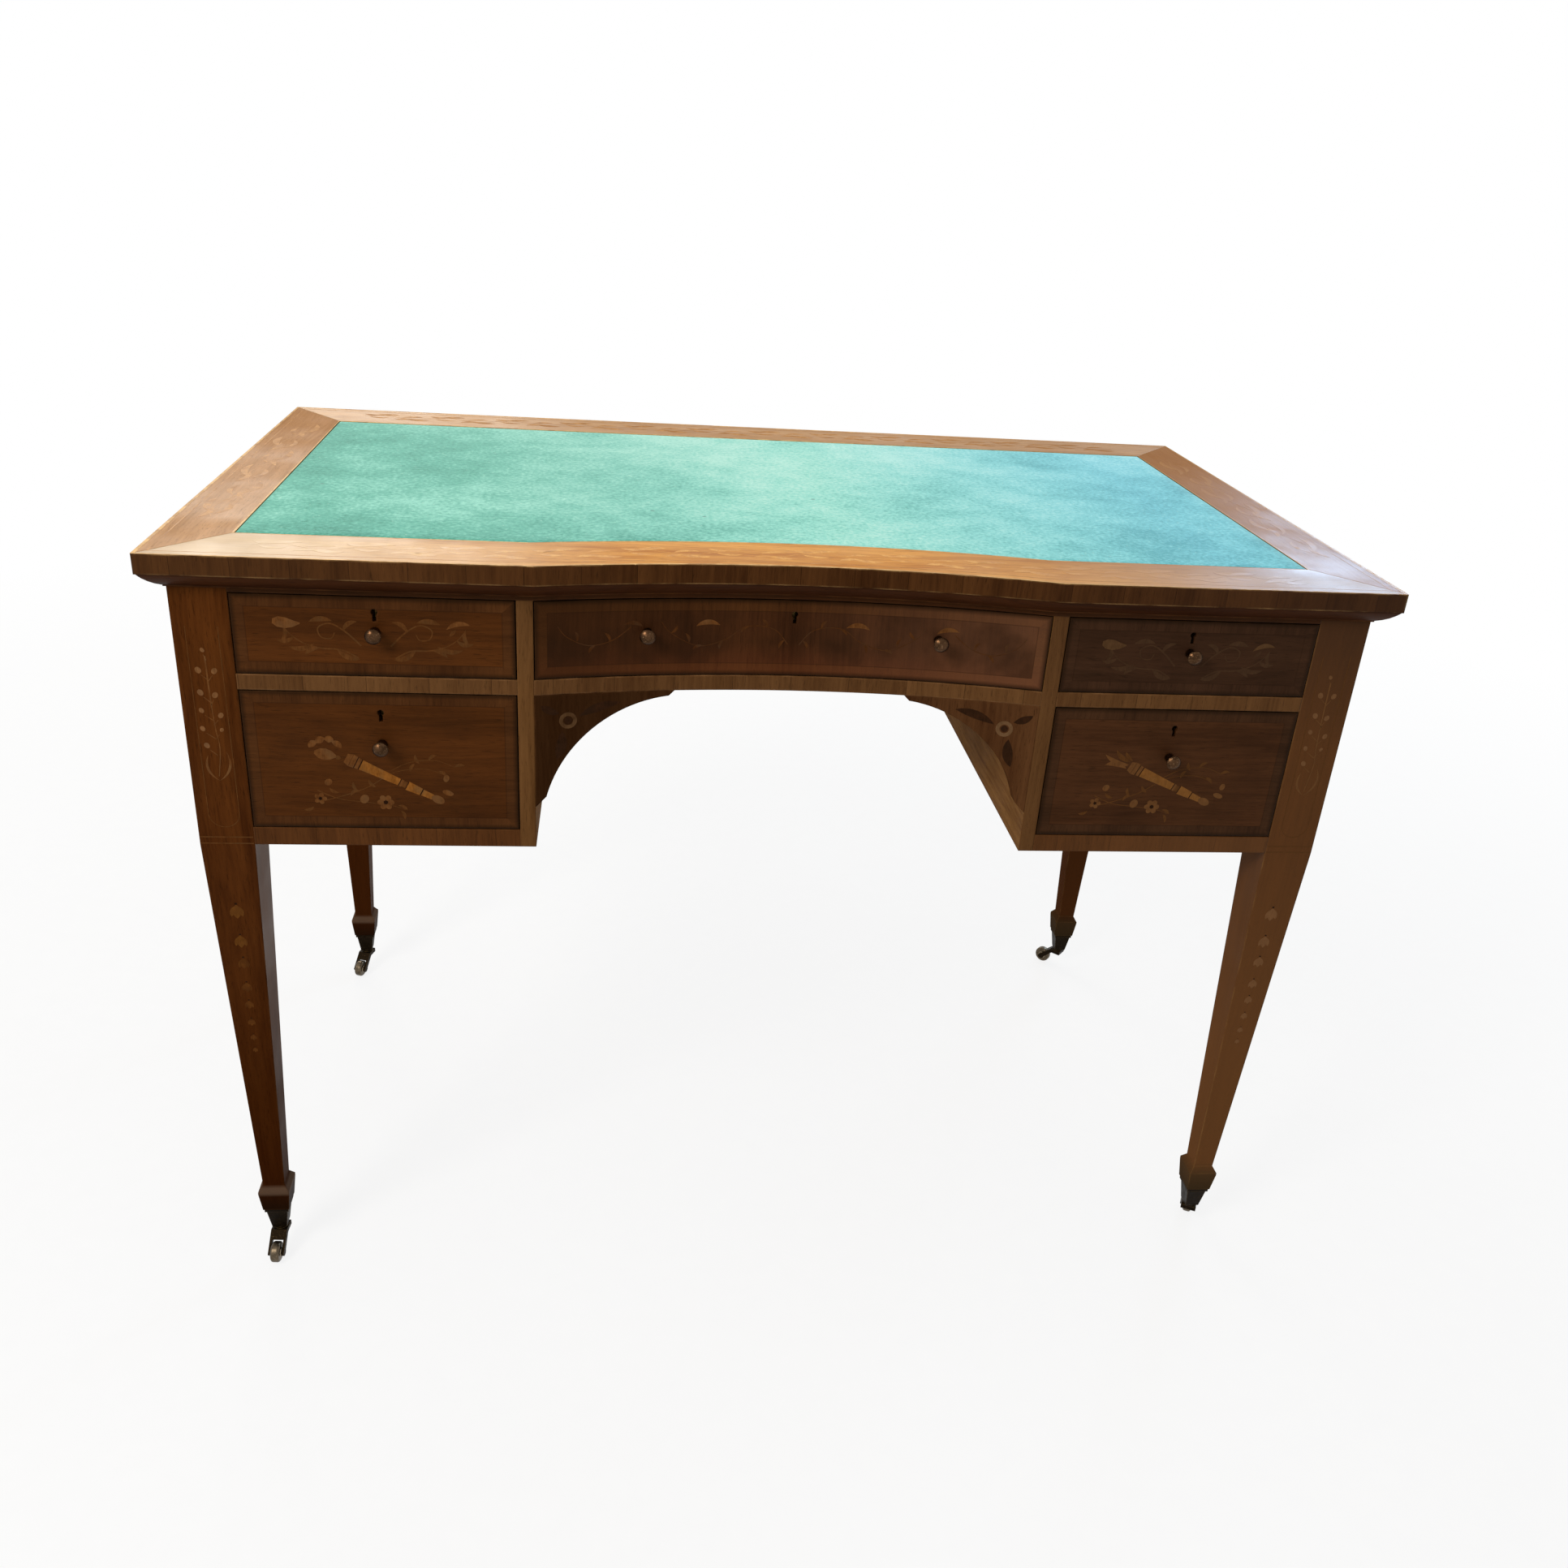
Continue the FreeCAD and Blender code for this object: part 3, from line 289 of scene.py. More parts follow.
def grain(look, axis, dark, light, band=None):
    """Colour and height of wood along an axis. A band is (axis, length, contrast) of its veneers."""
    bent = look.vector("SUBTRACT", look.noise(look.place, BEND_SCALE, output="Color"), (0.5, 0.5, 0.5))
    bent = look.vector("MULTIPLY", bent, (GRAIN_BEND,) * 3)
    place = look.vector("MULTIPLY", look.vector("ADD", look.place, bent), GRAIN_STRETCH[axis])
    shade = seam = 0.0
    if band:
        along, length, contrast = band
        steps = look.math("DIVIDE", look.axis(look.place, along), length)
        index = look.math("FLOOR", steps)
        chance = look.add("TexWhiteNoise", {"W": index}, "Value", noise_dimensions="1D")
        place = look.vector("ADD", place, look.add("CombineXYZ", {0: chance, 1: chance, 2: chance}))
        shade = look.fit(chance, 0.0, 1.0, -contrast, contrast)
        start = look.math("LESS_THAN", look.math("SUBTRACT", steps, index), SEAM_WIDE / length)
        seam = look.times(start, 0.8)
    streak = look.noise(place, STREAK_SCALE, 4.0)
    line = look.noise(place, LINE_SCALE, 3.0)
    value = look.math("ADD", look.blend((streak, 0.6), (line, 0.4)), shade)
    middle = tuple((d + l) / 2 for d, l in zip(dark, light))
    colour = look.ramp(value, (0.34, dark), (0.5, middle), (0.68, light))
    pore = look.fit(look.noise(place, PORE_SCALE, 1.0), 0.6, 0.74, 0.0, 0.6)
    pore = look.math("MAXIMUM", pore, seam)
    return look.mix(pore, colour, dimmed(dark, 0.4)), look.math("SUBTRACT", line, pore)


def polish(look, colour, height, rough, shine, pale, wear):
    """A rubbed shellac polish over a wood: softened and paler arrises, uneven gloss."""
    rounded, arris = look.rubbed(0.0022)
    patches = look.fit(look.noise(look.place, 45.0, 4.0), 0.38, 0.66)
    worn = look.times(look.times(arris, patches), wear)
    bump = look.add("Bump", {"Strength": 0.18, "Distance": 0.0003, "Height": height, "Normal": rounded})
    cloud = look.fit(look.noise(look.place, 14.0, 3.0), 0.3, 0.7, rough - 0.07, rough + 0.1)
    look.set(
        Base_Color=look.mix(worn, colour, pale),
        Roughness=look.math("ADD", cloud, look.times(worn, 0.2)),
        Normal=bump,
        Specular_IOR_Level=shine,
        Specular_Tint=SHELLAC,
    )
    return look.material


def drifted(look, colour, drifts):
    """A colour that turns towards others along axes."""
    for axis, start, end, share, other in drifts:
        colour = look.mix(look.along(axis, start, end, 0.0, share), colour, other)
    return colour


def wood(name, axis, dark, light, rough=0.48, shine=0.12, pale=WOOD_ARRIS, wear=0.5, band=None, drifts=()):
    """A polished wood of one figure all over."""
    look = Finish(name)
    colour, height = grain(look, axis, dark, light, band)
    return polish(look, drifted(look, colour, drifts), height, rough, shine, pale, wear)


def leg_wood():
    """The legs' wood: redder and darker towards the floor on the left and darker on the back legs, painted shade;
    paler on the right, painted light; darker about the feet.
    """
    look = Finish("leg_wood")
    colour, height = grain(look, "Z", *LEG_VENEER)
    colour = drifted(look, colour, LEG_LIGHT_DRIFTS)
    left, right = look.along("X", -0.3, 0.3, 1.0, 0.0), look.along("X", -0.1, 0.4)
    near = look.along("Y", -0.2, 0.2, 1.0, 0.0)
    ledge = look.times(look.along("Z", FOOT_COLLAR - 0.004, FOOT_COLLAR, 0.0, 0.5),
                       look.along("Z", FOOT_COLLAR + 0.005, FOOT_COLLAR + 0.008, 1.0, 0.0))
    ankle = look.along("Z", FOOT_COLLAR, FOOT_COLLAR + 0.012, 0.6, 0.0)
    for share, other in (
        # Painted shade: redder and darker towards the floor on the left legs.
        (look.times(look.along("Z", 0.08, 0.5, 0.75, 0.0), left), LEG_LOW_SHADE),
        # Painted light: paler high on the near right legs.
        (look.times(look.times(look.along("Z", 0.25, 0.5, 0.35, 0.0), right), near), LEG_RIGHT_LIGHT),
        # Painted shade: darker on the back legs, most on the right.
        (look.times(look.fit(near, 1.0, 0.0), look.along("X", -0.1, 0.3, 0.35, 0.75)), LEG_BACK_SHADE),
        (look.times(look.along("Z", 0.6, 0.7, 0.0, 0.5), right), LEG_DULL),
        # Darker about the feet, at the collars.
        (look.along("Z", FOOT_COLLAR - 0.02, FOOT_COLLAR + 0.012, 0.75, 0.0), LEG_FOOT_DARK),
        # Dust and painted light on the upward ledges of the left legs' collars.
        (look.times(ledge, left), LEG_DUST_AND_LIGHT),
        (look.times(ankle, look.fit(left, 1.0, 0.0)), FOOT_OLIVE),
    ):
        colour = look.mix(share, colour, other)
    glare = look.times(look.along("Z", 0.2, 0.46, 0.04, 0.37), look.fit(left, 0.0, 1.0, 0.5, 1.0))
    shine = look.times(look.fit(look.axis(look.turn, "X"), 0.6, 0.95, 0.12, 1.0), glare)
    arris = look.mix(right, LEFT_LEG_ARRIS, RIGHT_LEG_WORN_HIGHLIGHT)
    return polish(look, colour, height, 0.55, shine, arris, 0.6)


def faced_wood(name, base, face, facing, rough, shine, pale=WOOD_ARRIS, wear=0.5, drifts=(), edges=()):
    """A polished wood with another veneer on the faces that look along one axis; both are grain()'s."""
    look = Finish(name)
    under, under_height = grain(look, *base)
    over, over_height = grain(look, *face)
    under, over = drifted(look, under, edges), drifted(look, over, drifts)
    shine = shine(look) if callable(shine) else shine
    faced = look.math("GREATER_THAN", look.math("ABSOLUTE", look.axis(look.turn, facing)), 0.7)
    height = look.add("Mix", {0: faced, 2: under_height, 3: over_height})
    return polish(look, look.mix(faced, under, over), height, rough, shine, pale, wear)


def banded_front(name, piece, axis, field, border, mottle, drifts):
    """A drawer front: a mottled field of veneer in a border banded across the grain."""
    look = Finish(name)
    low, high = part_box(piece)
    inside = []
    for i in (0, 2):
        value = look.axis(look.place, "XYZ"[i])
        inside.append(look.math(
            "MINIMUM", look.math("SUBTRACT", value, low[i]), look.math("SUBTRACT", high[i], value)))
    nearest = look.math("MINIMUM", *inside)
    colour, height = grain(look, axis, *field)
    blotch = look.fit(look.noise(look.place, 26.0, 3.0), 0.45, 0.7, 0.0, mottle)
    colour = look.mix(blotch, drifted(look, colour, drifts), FRONT_STAIN)
    upright, _ = grain(look, "Z", *border)
    level, _ = grain(look, "X", *border)
    sideways = look.math("LESS_THAN", *inside)
    edge = drifted(look, look.mix(sideways, upright, level), drifts)
    colour = look.mix(look.math("LESS_THAN", nearest, BORDER_WIDE), colour, edge)
    joint = look.math("COMPARE", nearest, BORDER_WIDE)
    joint.node.inputs[2].default_value = 0.0004
    colour = look.mix(look.times(joint, 0.4), colour, FRONT_JOINT)
    # Darker towards the edges by the gaps: painted shade.
    colour = look.mix(look.fit(nearest, 0.0008, GAP_SHADE_WIDE, 0.75, 0.0), colour, FRONT_GAP_SHADE)
    return polish(look, colour, height, 0.48, 0.09, FRONT_ARRIS, 0.3)


def inlay_wood(name, dark, light, stain, rough=0.45, gloss=0.05, drifts=()):
    """A small cut of pale or dyed veneer, let in flush. Stained in places, and turned towards the same colour on
    the right: painted light of that side.
    """
    look = Finish(name)
    cloud = look.noise(look.place, 160.0, 4.0)
    line = look.noise(look.vector("MULTIPLY", look.place, (1.0, 1.0, 0.2)), 900.0, 2.0)
    value = look.blend((cloud, 0.6), (line, 0.4))
    spots = look.fit(look.noise(look.place, 75.0, 3.0), 0.46, 0.64, 0.0, 0.6)
    # Stain in spots; towards the right the same colour is painted light of that side.
    stain_and_right_light = look.math("MAXIMUM", spots, look.along("X", 0.1, 0.4, 0.0, 0.55))
    colour = look.mix(stain_and_right_light, look.ramp(value, (0.36, dark), (0.64, light)), stain)
    look.set(
        Base_Color=drifted(look, colour, drifts),
        Roughness=look.fit(cloud, 0.3, 0.7, rough - 0.05, rough + 0.1),
        Normal=look.add("Bump", {"Strength": 0.1, "Distance": 0.0002, "Height": line}),
        Specular_IOR_Level=gloss(look) if callable(gloss) else gloss,
        Specular_Tint=SHELLAC,
    )
    return look.material


# The baize's colours from worn dark to worn pale: on the left, about the middle and on the right. The change
# across, paler about the middle and blue on the right, is painted light, the blue that of a window
BAIZE_STOPS = (0.38, 0.5, 0.62)
BAIZE_LIT_TONES = (
    (tone(34, 130, 110), tone(84, 171, 150), tone(142, 211, 192)),
    (tone(66, 162, 147), tone(134, 210, 195), tone(178, 226, 212)),
    (tone(48, 154, 176), tone(103, 195, 213), tone(156, 220, 232)),
)
BAIZE_FIBRE = tone(52, 124, 114)
BAIZE_LINT = tone(196, 222, 206)
BAIZE_BURN = tone(38, 78, 72)


def baize_cloth():
    """Faded woollen baize: felted fibres, blotches of fading and stain, lint and a few burns. Paler about the
    middle and towards the back, and blue towards the right: painted light.
    """
    look = Finish("baize_cloth")
    place = look.place
    blotch = look.noise(place, 4.5, 3.0)
    mottle = look.noise(place, 30.0, 4.0)
    streak = look.noise(look.vector("MULTIPLY", place, (0.35, 1.0, 1.0)), 75.0, 4.0)
    fleck = look.noise(place, 240.0, 3.0)
    fibre = look.noise(place, 1100.0, 3.0)
    value = look.blend((blotch, 0.4), (mottle, 0.22), (streak, 0.06), (fleck, 0.32))
    # Paler towards the back: painted light.
    value = look.math("ADD", value, look.along("Y", -0.2, 0.2, -0.032, 0.024))
    green, pale, blue = [look.ramp(value, *zip(BAIZE_STOPS, tones)) for tones in BAIZE_LIT_TONES]
    # Greener on the left, paler about the middle and blue on the right: painted light.
    colour = look.mix(look.along("X", -0.3, 0.02), green, pale)
    colour = look.mix(look.along("X", 0.05, 0.4), colour, blue)
    colour = look.mix(look.fit(fibre, 0.35, 0.75, 0.0, 0.3), colour, BAIZE_FIBRE)
    lint = look.add("TexVoronoi", {"Vector": place, "Scale": 90.0})
    colour = look.mix(look.fit(lint, 0.03, 0.1, 0.55, 0.0), colour, BAIZE_LINT)
    burn = look.add("TexVoronoi", {"Vector": look.vector("ADD", place, (0.37, 0.11, 0.0)), "Scale": 17.0})
    colour = look.mix(look.fit(burn, 0.025, 0.045, 0.6, 0.0), colour, BAIZE_BURN)
    height = look.math("ADD", fibre, look.times(mottle, 0.6))
    look.set(
        Base_Color=colour,
        Roughness=look.fit(mottle, 0.3, 0.7, 0.88, 0.98),
        Normal=look.add("Bump", {"Strength": 0.5, "Distance": 0.0006, "Height": height}),
        Specular_IOR_Level=0.15,
        Sheen_Weight=0.35,
        Sheen_Roughness=0.5,
        Sheen_Tint=(0.75, 0.95, 0.88, 1.0),
    )
    return look.material


def metal(name, dull, bright, rough):
    """An old metal: a dark patina, rubbed bright on the arrises."""
    look = Finish(name)
    rounded, arris = look.rubbed(0.0012)
    cloud = look.noise(look.place, 180.0, 4.0)
    spots = look.noise(look.place, 900.0, 3.0)
    patina = look.ramp(cloud, (0.36, dimmed(dull, 0.55)), (0.62, dull))
    rub = look.math("MAXIMUM", look.times(arris, 0.7), look.fit(spots, 0.58, 0.78, 0.0, 0.5))
    look.set(
        Base_Color=look.mix(rub, patina, bright),
        Metallic=1.0,
        Roughness=look.fit(cloud, 0.3, 0.7, rough - 0.08, rough + 0.14),
        Normal=look.add("Bump", {"Strength": 0.12, "Distance": 0.0002, "Height": spots, "Normal": rounded}),
    )
    return look.material


# The finishes of the frame's pieces; a band is the length of its veneers, in metres, and their contrast
BORDER_BAND = (0.046, 0.03)
RAIL_BAND = ("X", 0.052, 0.08)


def paint(material, *names):
    """Gives pieces of the frame one finish."""
    for name in names:
        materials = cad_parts[name].data.materials
        materials.clear()
        materials.append(material)


def finish_top():
    """The top's border, crossbanded at its edges and bleached on its face, and the moulding under it."""
    # Paler towards both ends of the front: painted glare.
    front_glare = painted_end_glare(tone(134, 108, 86), tone(162, 141, 106))
    for end, axis, veneer, shine, drifts, edges in (
        ("front", "X", FRONT_BORDER, front_gloss, front_glare, EDGE_DRIFTS),
        ("back", "X", BACK_BORDER, BACK_GLOSS, (), ()),
        ("ends", "Y", END_BORDER, top_gloss, END_DRIFTS, ()),
    ):
        border = faced_wood(f"top_{end}_wood", ("Z", *EDGE_VENEER, (axis, *BORDER_BAND)), (axis, *veneer), "Z",
                            TOP_ROUGH, shine, TOP_ARRIS, 0.7, drifts, edges)
        paint(border, f"top_frame_{end}")
        paint(wood(f"moulding_{end}_wood", axis, *MOULDING_VENEER, shine=0.06), f"moulding_{end}")


def finish_carcass():
    """Legs, panels, rails and brackets."""
    paint(leg_wood(), *[f"leg_{corner}" for corner in CORNERS])
    paint(wood("panel_wood", "Y", *PANEL_VENEER), "end_panel_left", "end_panel_right")
    knee, face = ("Y", *KNEE_VENEER), ("Z", *STILE_VENEER)
    stile = faced_wood("stile_wood", knee, face, "Y", 0.72, 0.02, drifts=STILE_DRIFTS)
    paint(stile, "inner_side_left", "inner_side_right")
    rail = wood("rail_wood", "Z", *RAIL_VENEER, pale=RAIL_ARRIS, wear=0.8, band=RAIL_BAND)
    paint(rail, "centre_rail", "divider_rails")
    paint(wood("low_rail_wood", "Z", *LOW_RAIL_VENEER, band=RAIL_BAND, drifts=LOW_RAIL_DRIFTS), "bottom_rails")
    paint(wood("hidden_rail_wood", "X", *MAHOGANY), "top_rail_front")
    paint(wood("back_wood", "X", *PANEL_VENEER), "pedestal_backs", "back_apron")
    bracket = wood("bracket_wood", "Z", *BRACKET_VENEER, rough=0.75, shine=0.0, drifts=BRACKET_SHADE_DRIFTS)
    paint(bracket, "kneehole_brackets")


def finish_drawers():
    """Drawers with banded fronts, brass knobs and locks, and the bare linings inside."""
    lining, runner = [wood(f"lining_wood_{axis.lower()}", axis, *LINING, rough=0.6, shine=0.2, pale=LINING_ARRIS,
                           wear=0.4) for axis in "XY"]
    paint(lining, "top_ground", "pedestal_floors")
    paint(runner, "drawer_runners")
    knob = metal("knob_brass", tone(76, 53, 35), tone(178, 143, 104), 0.27)
    lock = metal("lock_brass", tone(120, 94, 52), tone(190, 158, 98), 0.38)
    for drawer in DRAWERS:
        name = f"drawer_{drawer}"
        axis, mottle, drifts = ("Z", 0.6, CENTRE_DRIFTS) if drawer == "centre" else ("X", 0.25, ())
        veneer = banded_front(f"{name}_veneer", f"{name}_front", axis, VENEERS[drawer],
                              BANDINGS.get(drawer, BANDING), mottle, drifts)
        parts = {"front": veneer, "box": runner, "bottom": lining, "knob": knob, "lock": lock}
        for part, material in parts.items():
            paint(material, f"{name}_{part}")


def finish_metalwork():
    """Casters and screws."""
    caster = metal("caster_brass", tone(30, 22, 13), tone(84, 66, 40), 0.54)
    wheel = metal("wheel_brass", tone(96, 84, 68), tone(188, 170, 144), 0.32)
    paint(caster, "caster_cups", *[f"caster_fork_{corner}" for corner in CORNERS])
    paint(wheel, *[f"caster_wheel_{corner}" for corner in CORNERS])
    paint(metal("screw_steel", tone(120, 118, 114), tone(180, 178, 172), 0.4), "top_screws")


finish_top()
finish_carcass()
finish_drawers()
finish_metalwork()


def rim(front, side, back, steps=33):
    """The top's outline drawn in by these amounts, from the back left corner round by the hollow front."""
    radius = HOLLOW_RADIUS + front
    level = TOP_LOW.y + front
    half = TOP_HIGH.x - side
    reach = math.sqrt(radius**2 - (level - HOLLOW_CENTRE_Y) ** 2)
    hollow = [(x, HOLLOW_CENTRE_Y + math.sqrt(radius**2 - x * x)) for x in spread(-reach, reach, steps)]
    return [(-half, TOP_HIGH.y - back), (-half, level), *hollow, (half, level), (half, TOP_HIGH.y - back)]


def in_scene(name, data):
    """A new object in the scene."""
    thing = bpy.data.objects.new(name, data)
    bpy.context.scene.collection.objects.link(thing)
    return thing


def made(name, built, materials, smooth=False):
    """An object made of a bmesh in metres."""
    mesh = bpy.data.meshes.new(name)
    built.to_mesh(mesh)
    built.free()
    for material in materials:
        mesh.materials.append(material)
    for face in mesh.polygons:
        face.use_smooth = smooth
    return in_scene(name, mesh)


def add_mesh(name, built, body, materials, smooth=False):
    """Makes a bmesh of closed skins into a piece that rides on a body."""
    bmesh.ops.recalc_face_normals(built, faces=built.faces)
    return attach(made(name, built, materials, smooth), body)


# The baize, in millimetres: one sheet cut to the field, a little uneven, its cut edge pressed down
BAIZE_GAP = 0.35
BAIZE_ROLL = 1.6
BAIZE_PRESS = 0.7
BAIZE_SWELL = 0.22
SWELL_SCALE = 0.021
BAIZE_COLUMNS = 61
BAIZE_ROWS = [0.0, 0.004, *spread(0.02, 0.98, 33), 0.996, 1.0]


def baize():
    """The sheet of baize: a grid of columns across the field, and of rows from the hollow front to the back."""
    front, side, back = (inset + BAIZE_GAP for inset in FIELD_INSET)
    outline = rim(front, side, back)
    line = outline[1:-1]
    half = line[-1][0]
    rear = outline[0][1]
    inner = half - BAIZE_ROLL
    columns = sorted({*(x for x, _ in line), *spread(-half, half, BAIZE_COLUMNS), -inner, inner})

    def front_at(x):
        for (x0, y0), (x1, y1) in zip(line, line[1:]):
            if x0 <= x <= x1:
                return y0 + (y1 - y0) * (x - x0) / (x1 - x0)
        return line[0][1]

    wide, deep = len(columns), len(BAIZE_ROWS)
    built = bmesh.new()
    upper, lower = [], []
    for i, x in enumerate(columns):
        start = front_at(x)
        for j, share in enumerate(BAIZE_ROWS):
            y = start + (rear - start) * share
            at_edge = i in (0, wide - 1) or j in (0, deep - 1)
            swell = BAIZE_SWELL * (1 + noise.noise(Vector((x, y, 0)) * SWELL_SCALE)) / 2
            top = FIELD_HIGH.z - (BAIZE_PRESS if at_edge else swell)
            upper.append(built.verts.new(Vector((x, y, top)) * MM))
            lower.append(built.verts.new(Vector((x, y, FIELD_LOW.z)) * MM))
    for i in range(wide - 1):
        for j in range(deep - 1):
            cell = [i * deep + j, i * deep + j + 1, (i + 1) * deep + j + 1, (i + 1) * deep + j]
            built.faces.new([upper[k] for k in cell])
            built.faces.new([lower[k] for k in reversed(cell)])
    last = (wide - 1) * deep
    border = [i * deep for i in range(wide)] + [last + j for j in range(1, deep)]
    border += [i * deep + deep - 1 for i in range(wide - 2, -1, -1)] + list(range(deep - 2, 0, -1))
    for here, after in zip(border, border[1:] + border[:1]):
        built.faces.new([upper[here], upper[after], lower[after], lower[here]])
    piece = add_mesh("baize_sheet", built, "carcass", [baize_cloth()], smooth=True)
    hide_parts("writing_surface")


baize()

# Marquetry, in millimetres: every cut of veneer is a stroke, a line with a width at each of its points.
# Slips stand proud by their wood's lift and a step that keeps neighbours apart, and reach into the ground.
INLAY_STEP = 0.003
INLAY_STEPS = 10
INLAY_SINK = 0.4
LEAST_WIDE = 0.12
INLAY_WOODS, INLAY_LIFTS = [], []


def inlay_kind(lift, name, dark, light, stain=(64, 46, 32), **looks):
    """Adds a wood to the marquetry, and gives its index."""
    INLAY_WOODS.append(inlay_wood(f"{name}_inlay", tone(*dark), tone(*light), tone(*stain), **looks))
    INLAY_LIFTS.append(lift)
    return len(INLAY_LIFTS) - 1


TOP_STAIN = (136, 92, 50)
HOLLY = inlay_kind(0.11, "holly", (77, 44, 19), (105, 66, 33), (98, 69, 42))
SATINWOOD = inlay_kind(0.1, "satinwood", (104, 61, 20), (138, 87, 36), (104, 74, 42))
DARK = inlay_kind(0.14, "dark", (26, 12, 5), (44, 22, 10), (30, 18, 10))
BOXWOOD = inlay_kind(0.09, "boxwood", (186, 144, 88), (218, 180, 124), TOP_STAIN, rough=TOP_ROUGH, gloss=top_gloss)
FAINT = inlay_kind(0.08, "faint", (70, 40, 16), (93, 57, 27), (78, 52, 28))
TOP_PALE = inlay_kind(0.05, "top", (158, 112, 62), (192, 146, 98), TOP_STAIN, rough=TOP_ROUGH, gloss=top_gloss)
SHADED = inlay_kind(0.05, "shaded", (32, 17, 8), (50, 28, 15), (36, 22, 13))
BERRY = inlay_kind(0.11, "berry", (92, 60, 33), (124, 86, 53), (98, 70, 47))
DIM = inlay_kind(0.08, "dim", (58, 31, 12), (78, 45, 20))
GOLDEN = inlay_kind(0.08, "golden", (76, 43, 12), (98, 60, 21), (84, 50, 19))
UMBER = inlay_kind(0.08, "umber", (68, 36, 10), (88, 51, 17), (60, 31, 8))
RING = inlay_kind(0.11, "ring", (58, 38, 21), (80, 56, 35), (86, 62, 40))
GHOST = inlay_kind(0.08, "ghost", (52, 34, 21), (71, 49, 32), (62, 44, 31))
FLOWER = inlay_kind(0.11, "flower", (82, 58, 37), (106, 79, 54), (96, 70, 46))
# The front vine turns paler towards both ends with the border: painted glare.
FRONT_VINE = inlay_kind(0.05, "front_vine", (184, 126, 60), (220, 168, 98), (190, 130, 62), rough=TOP_ROUGH,
                        gloss=front_gloss, drifts=painted_end_glare(tone(146, 119, 96), tone(168, 147, 112)))
FADED = inlay_kind(0.08, "faded", (94, 64, 38), (114, 80, 51), (108, 74, 46))


def smooth(points, count):
    """A smooth line through the points."""
    ends = [points[0], *points, points[-1]]
    line = []
    for share in spread(0, len(points) - 1, count):
        i = min(int(share), len(points) - 2)
        t = share - i
        p, q, r, s = (Vector(ends[i + k]) for k in range(4))
        bend = (2 * p - 5 * q + 4 * r - s) * t**2 + (3 * q - p - 3 * r + s) * t**3
        line.append(0.5 * (2 * q + (r - p) * t + bend))
    return line


def direction(degrees):
    return Vector((math.cos(math.radians(degrees)), math.sin(math.radians(degrees))))


def stroke(kind, line, widths, closed=False):
    """A cut of one wood: a line with a width at each of its points."""
    return (kind, [Vector(point) for point in line], [max(w, LEAST_WIDE) for w in widths], closed)


def bar(kind, start, end, wide_start, wide_end):
    """A straight cut."""
    return stroke(kind, [start, end], [wide_start, wide_end])


def stem(kind, points, wide, count=17):
    """A winding stem that thins to half its width."""
    return stroke(kind, smooth(points, count), [wide * (1 - 0.5 * i / (count - 1)) for i in range(count)])


def leaf(kind, base, tip, wide, bow=0.0, count=9):
    """A pointed leaf, bowed to its left by a share of its length."""
    base, tip = Vector(base), Vector(tip)
    side = Vector((base.y - tip.y, tip.x - base.x)) * bow
    shares = spread(0, 1, count)
    line = [base.lerp(tip, t) + side * 4 * t * (1 - t) for t in shares]
    return stroke(kind, line, [wide * math.sin(math.pi * t) ** 0.8 for t in shares])


def dot(kind, centre, long, wide, degrees=0.0, count=9):
    """An oval berry or bud."""
    shares = [-math.cos(math.pi * i / (count - 1)) for i in range(count)]
    line = [Vector(centre) + direction(degrees) * long / 2 * s for s in shares]
    return stroke(kind, line, [wide * math.sqrt(1 - s * s) for s in shares])


def loop(kind, points, wide):
    """A closed string of even width."""
    return stroke(kind, points, [wide] * len(points), True)


def ring(kind, centre, radius, wide, count=20):
    """A round string."""
    return loop(kind, [Vector(centre) + direction(360 * i / count) * radius for i in range(count)], wide)


def flower(kind, centre, radius, petals):
    """An open flower: petals round a dark eye."""
    parts = []
    for i in range(petals):
        degrees = 360 * i / petals
        middle = Vector(centre) + direction(degrees) * radius * 0.62
        parts.append(dot(kind, middle, radius * 0.76, radius * 0.7, degrees))
    return parts + [dot(DARK, centre, radius * 0.5, radius * 0.5)]


def husk(kind, top, long, wide):
    """A bellflower husk, hanging: a middle petal between two that flare."""
    x, z = top
    middle = leaf(kind, top, (x, z - long), wide * 0.62)
    sides = [leaf(kind, (x + s * 0.05 * wide, z - 0.1 * long), (x + s * wide * 0.4, z - 0.86 * long),
                  wide * 0.38, s * 0.06) for s in (-1, 1)]
    return [middle, *sides, dot(DARK, (x, z + 0.06 * long), 0.14 * long, 0.16 * wide)]


def moved(strokes, x, z, degrees=0.0, mirror=1):
    """Strokes turned, mirrored and set at a place of the face."""
    turn = Matrix.Rotation(math.radians(degrees), 2)
    place = Vector((x, z))

    def at(point):
        point = turn @ point
        return Vector((point.x * mirror, point.y)) + place

    return [(kind, [at(p) for p in line], widths, closed) for kind, line, widths, closed in strokes]


def mirrored(strokes):
    """Strokes and their mirror image about the upright axis."""
    return strokes + moved(strokes, 0, 0, mirror=-1)


def leaflets(kind, places, long, wide):
    """Small leaves at places along stems, each (x, z, turn in degrees)."""
    parts = []
    for place in places:
        parts += moved([leaf(kind, (0, 0), (long, 0), wide, 0.15)], *place)
    return parts


UP = Vector((0, 0, 1))


def board(piece, outward, across):
    """Gives lay(point): where a point of a drawing falls on a piece of the frame, and the way out there."""
    tree = BVHTree.FromObject(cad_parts[piece], bpy.context.evaluated_depsgraph_get())
    outward, across = Vector(outward), Vector(across)

    def lay(point):
        start = (across * point.x + UP * point.y) * MM + outward
        return tree.ray_cast(start, -outward)[:2]

    return lay


def front_board(piece):
    return board(piece, (0, -1, 0), (1, 0, 0))


